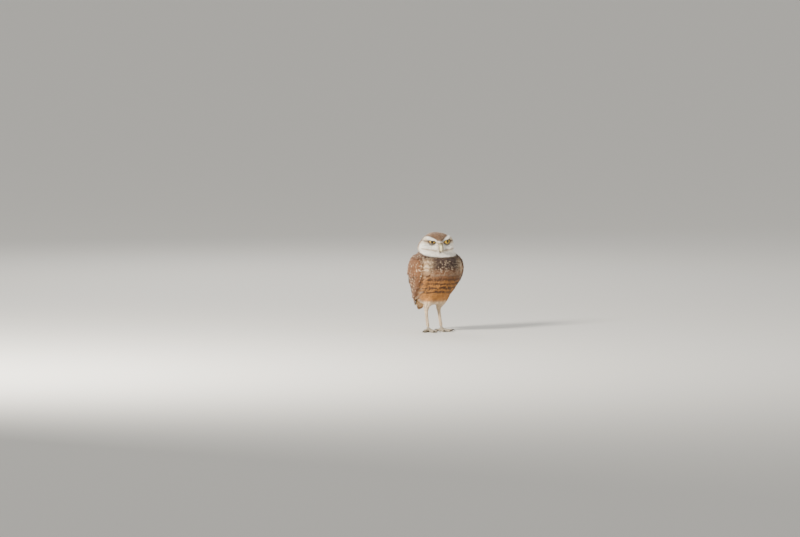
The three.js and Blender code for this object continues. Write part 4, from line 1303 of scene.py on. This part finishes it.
billPlans = {
    "bill_upper": {"path": [(0, -23, 8), (0, -29.6, 7.2), (0, -33.8, 3.8), (0, -34.8, -0.2),
                            (0, -33.2, -3.9)],
                   "steps": 26, "wide": 2.95, "deep": 3.7, "power": 2.4, "ridge": 0.5, "cere": 0.42},
    "bill_lower": {"path": [(0, -23, 2.2), (0, -29.2, 1.2), (0, -31.8, -1.6)],
                   "steps": 12, "wide": 2.35, "deep": 1.95, "power": 2.2, "ridge": 0.0, "cere": 0.0}}
billSides = 20


def makeBill(name, plan, material):
    bm = bmesh.new()
    path = smoothPath(plan["path"], plan["steps"])
    shares = np.linspace(0, 1, len(path))
    taper = np.sqrt(np.maximum(0, 1 - shares ** plan["power"]))
    swell = plan["cere"] * fade(0.5, 0.42, shares)
    radii = np.stack([plan["wide"] * taper + 0.2 + swell, plan["deep"] * taper + 0.25 + 0.6 * swell], 1)
    rings = sweptTube(bm, path, radii, billSides)
    for ring, centre in zip(rings, path):
        for vert in ring:
            outwards = max(0.0, -(vert.co.y - centre[1])) / plan["deep"]
            vert.co.x *= 1 - plan["ridge"] * min(outwards, 1) ** 1.5
    bm.verts.index_update()
    local = np.array([v.co for v in bm.verts])
    horn = local.copy()
    horn[:, 1] = 1
    for ring, share in zip(rings, shares):
        horn[[vert.index for vert in ring], 1] = share
    for vert, spot in zip(bm.verts, fromHead(local)):
        vert.co = Vector(spot)
    bill = objectFromBmesh(name + "_horn", bm, material)
    setValues(bill.data, "local", horn)
    place(bill, "bill", name)


billLook = billMaterial()
for name, plan in billPlans.items():
    makeBill(name, plan, billLook)
nostrils = bmesh.new()
for side in (-1, 1):
    addBall(nostrils, (16, 10), fromHead([side * 2.6, -32.9, 6.9]), radius=0.62, stretch=(0.7, 1, 1.2))
nostrilLook = Wires("nostril").finish(Base_Color=(0.012, 0.01, 0.008), Roughness=0.7)
place(objectFromBmesh("nostrils", nostrils, nostrilLook), "bill")

bristlePlan = {"count": 180, "length": (4.5, 7.5), "halfWidth": 0.2, "steps": 5, "droop": 1.6,
               "rootLow": (2.2, -29.0, -4), "rootHigh": (5.6, -29.0, 9),
               "lieLow": (-0.15, -0.95, -0.85), "lieHigh": (0.5, -0.6, -0.1)}


def growBristles():
    random = np.random.default_rng(21)
    plan, roots, lies = bristlePlan, [], []
    (innerX, rootY, lowZ), (outerX, _, highZ) = plan["rootLow"], plan["rootHigh"]
    for k in range(plan["count"]):
        side = -1 if k % 2 else 1
        root = np.array([side * random.uniform(innerX, outerX), rootY, random.uniform(lowZ, highZ)])
        lie = np.array([random.uniform(*ends) for ends in zip(plan["lieLow"], plan["lieHigh"])])
        roots.append(surface.find_nearest(Vector(fromHead(root)))[0])
        lies.append(headAxes @ (lie * [side, 1, 1]))
    roots, lies, count = np.array(roots), unit(np.array(lies)), plan["count"]
    lengths = random.uniform(*plan["length"], count)
    along = np.linspace(0, 1, plan["steps"])[None, :, None]
    outward = unit(roots - fromHead([0, -10, 3]))[:, None]
    points = roots[:, None] + lies[:, None] * lengths[:, None, None] * along
    points += np.array([0, 0, -plan["droop"]]) * along ** 2 - outward * 0.5 * (1 - along)
    ahead = unit(np.gradient(points, axis=1))
    sides = unit(np.cross(ahead, outward + 0 * points))
    look = {"halfWidth": random.uniform(0.7, 1.3, count) * plan["halfWidth"], "ragged": 0.0,
            "ground": mixed("white", "sand", random.uniform(0, 0.5, count)[:, None]),
            "mark": np.tile(tints["cream"], (count, 1)), "pattern": np.zeros((count, 3)),
            "camber": 0.0, "thickness": 0.06, "phase": [np.zeros(count)] * 2}
    normals = unit(np.cross(sides, ahead))
    joinedFeathers("bristles", "soft", (points, sides, normals), look, softVane, "plumage", (), 22)


growBristles()

# Feet: scaled toes and curved claws


def toeMaterial():
    wires = Wires("toe_skin")
    cells = wires.node("ShaderNodeTexVoronoi", {"feature": "DISTANCE_TO_EDGE"}, Vector=wires.objectPlace(),
                       Scale=900.0)
    colour = wires.mix(wires.noise(420.0, 4.0), "7C7264", "B5A78F")
    colour = wires.mix(0.45 - wires.fade(cells, 0.02, 0.16), colour, "4B4238")
    return wires.finish(Base_Color=colour, Normal=wires.bump(0.7, 0.0003, wires.fade(cells, 0.0, 0.25)),
                        Roughness=0.6)


def clawMaterial():
    wires = Wires("claw_horn")
    return wires.finish(Base_Color=wires.mix(wires.noise(600.0, 2.0), "1C1714", "3D342D"), Roughness=0.28)


# Each toe's heading in degrees, its length and its claw's.
toePlans = {"middle": (10, 22, 9.5), "inner": (-22, 18, 9), "outer": (62, 18, 8), "hind": (190, 12, 8)}
footPlan = {"centre": (15, 0.5, 4.2), "size": (4.9, 5.3, 4.3), "lowest": 0.02,
            "toeRadius": 2.7, "toeSides": 16, "toeSteps": 44, "knuckles": 3, "knuckleSwell": 0.1,
            "scutes": 9, "scuteSpan": 22, "scuteRise": 0.3,
            "clawRadius": (1.6, 0.2), "clawBreadth": 0.85, "clawSides": 12, "clawSteps": 16}


def toeShape(length):
    path = smoothPath([(0, 0, footPlan["centre"][2]), (0, -0.35 * length, 3.2), (0, -0.72 * length, 2.3),
                       (0, -length - 1, 2.2)], footPlan["toeSteps"])
    shares = np.linspace(0, 1, len(path))
    swell = 1 + footPlan["knuckleSwell"] * np.cos(2 * math.pi * footPlan["knuckles"] * shares)
    radius = footPlan["toeRadius"] * swell * lerp(1.05, 0.8, shares)
    radius = radius * np.sqrt(np.clip((1.03 - shares) / 0.07, 0.1, 1))
    toe = bmesh.new()
    rings = sweptTube(toe, path, np.stack([radius, radius], 1), footPlan["toeSides"])
    for share, ring, middle in zip(shares, rings, path):
        # The share of the way across one scute on the toe's upper side.
        step = (share * footPlan["scutes"] * length / footPlan["scuteSpan"]) % 1
        for vert in ring:
            rise = max(0.0, vert.co.z - middle[2]) / footPlan["toeRadius"]
            vert.co.z += rise * footPlan["scuteRise"] * (step ** 0.5 - 0.5)
    return toe


def clawShape(length, claw):
    path = smoothPath([(0, -length + 0.8, 2.35), (0, -length - 0.42 * claw, 3.3),
                       (0, -length - 0.78 * claw, 2.2), (0, -length - claw, 0.45)], footPlan["clawSteps"])
    radius = lerp(*footPlan["clawRadius"], np.linspace(0, 1, len(path)) ** 0.9)
    talon = bmesh.new()
    sweptTube(talon, path, np.stack([footPlan["clawBreadth"] * radius, radius], 1), footPlan["clawSides"])
    return talon


def makeFoot(side, hand, toeLook, clawLook):
    toes, claws = bmesh.new(), bmesh.new()
    addBall(toes, (24, 16), footPlan["centre"], stretch=footPlan["size"])
    base = np.array([*footPlan["centre"][:2], 0])
    for heading, length, claw in toePlans.values():
        spin = spinOf(heading)
        addPart(toes, toeShape(length), lambda spot: spin @ spot + base)
        addPart(claws, clawShape(length, claw), lambda spot: spin @ spot + base)
    for mesh in (toes, claws):
        for vert in mesh.verts:
            vert.co.z = max(vert.co.z, footPlan["lowest"])
        if side < 0:
            bmesh.ops.scale(mesh, verts=mesh.verts[:], vec=(-1, 1, 1))
            bmesh.ops.recalc_face_normals(mesh, faces=mesh.faces[:])
    toeNodes = [f"foot_{hand}"] + [f"toe_{toe}_{hand}" for toe in toePlans]
    place(objectFromBmesh(f"foot_skin_{hand}", toes, toeLook), "toe", *toeNodes)
    clawNodes = [f"claw_{toe}_{hand}" for toe in toePlans]
    place(objectFromBmesh(f"claws_{hand}", claws, clawLook), "claw", *clawNodes)


toeLook, clawLook = toeMaterial(), clawMaterial()
makeFoot(1, "left", toeLook, clawLook)
makeFoot(-1, "right", toeLook, clawLook)
print("feet made")

# Floor, light and camera

floorMesh = bmesh.new()
bmesh.ops.create_circle(floorMesh, cap_ends=True, segments=96, radius=14)
floorLook = Wires("floor").finish(Base_Color="DAD8D2", Roughness=0.9, Specular_IOR_Level=0.1)
objectFromBmesh("floor", floorMesh, floorLook, smooth=False, row=False)

world = bpy.data.worlds.new("studio")
world.use_nodes = True
world.node_tree.nodes["Background"].inputs[0].default_value = (0.92, 0.91, 0.89, 1)
world.node_tree.nodes["Background"].inputs[1].default_value = 0.75
bpy.context.scene.world = world

lightPlans = {"key": {"from": (-1.7, -0.35, 1.05), "size": 0.5, "power": 88, "tint": (1, 0.95, 0.87)},
              "fill": {"from": (1.3, -1.5, 0.7), "size": 1.4, "power": 6, "tint": (0.97, 0.98, 1)},
              "rim": {"from": (0.6, 1.7, 1.3), "size": 1.0, "power": 14, "tint": (1, 0.98, 0.95)}}
for name, plan in lightPlans.items():
    lamp = bpy.data.lights.new(name, "AREA")
    lamp.shape, lamp.size, lamp.energy, lamp.color = "DISK", plan["size"], plan["power"], plan["tint"]
    light = objectOf(name, lamp)
    light.location = plan["from"]
    light.rotation_euler = (Vector((0, 0, 0.1)) - light.location).to_track_quat("-Z", "Y").to_euler()

# Angles in degrees from the front, and metres.
cameraPlan = {"azimuth": -35, "elevation": 4, "distance": 27.0, "frameWidth": 1.496, "across": -0.0629,
              "up": 0.118, "sensor": 36}
azimuth, elevation = (math.radians(cameraPlan[key]) for key in ("azimuth", "elevation"))
back = Vector((math.sin(azimuth) * math.cos(elevation), -math.cos(azimuth) * math.cos(elevation),
               math.sin(elevation)))
right = Vector((math.cos(azimuth), math.sin(azimuth), 0))
up = back.cross(right)
lens = bpy.data.cameras.new("camera")
lens.sensor_width = cameraPlan["sensor"]
lens.lens = cameraPlan["sensor"] * cameraPlan["distance"] / cameraPlan["frameWidth"]
lens.clip_start, lens.clip_end = 1, 100
camera = objectOf("camera", lens)
camera.location = right * cameraPlan["across"] + up * cameraPlan["up"] + back * cameraPlan["distance"]
camera.rotation_euler = (-back).to_track_quat("-Z", "Y").to_euler()
bpy.context.scene.camera = camera
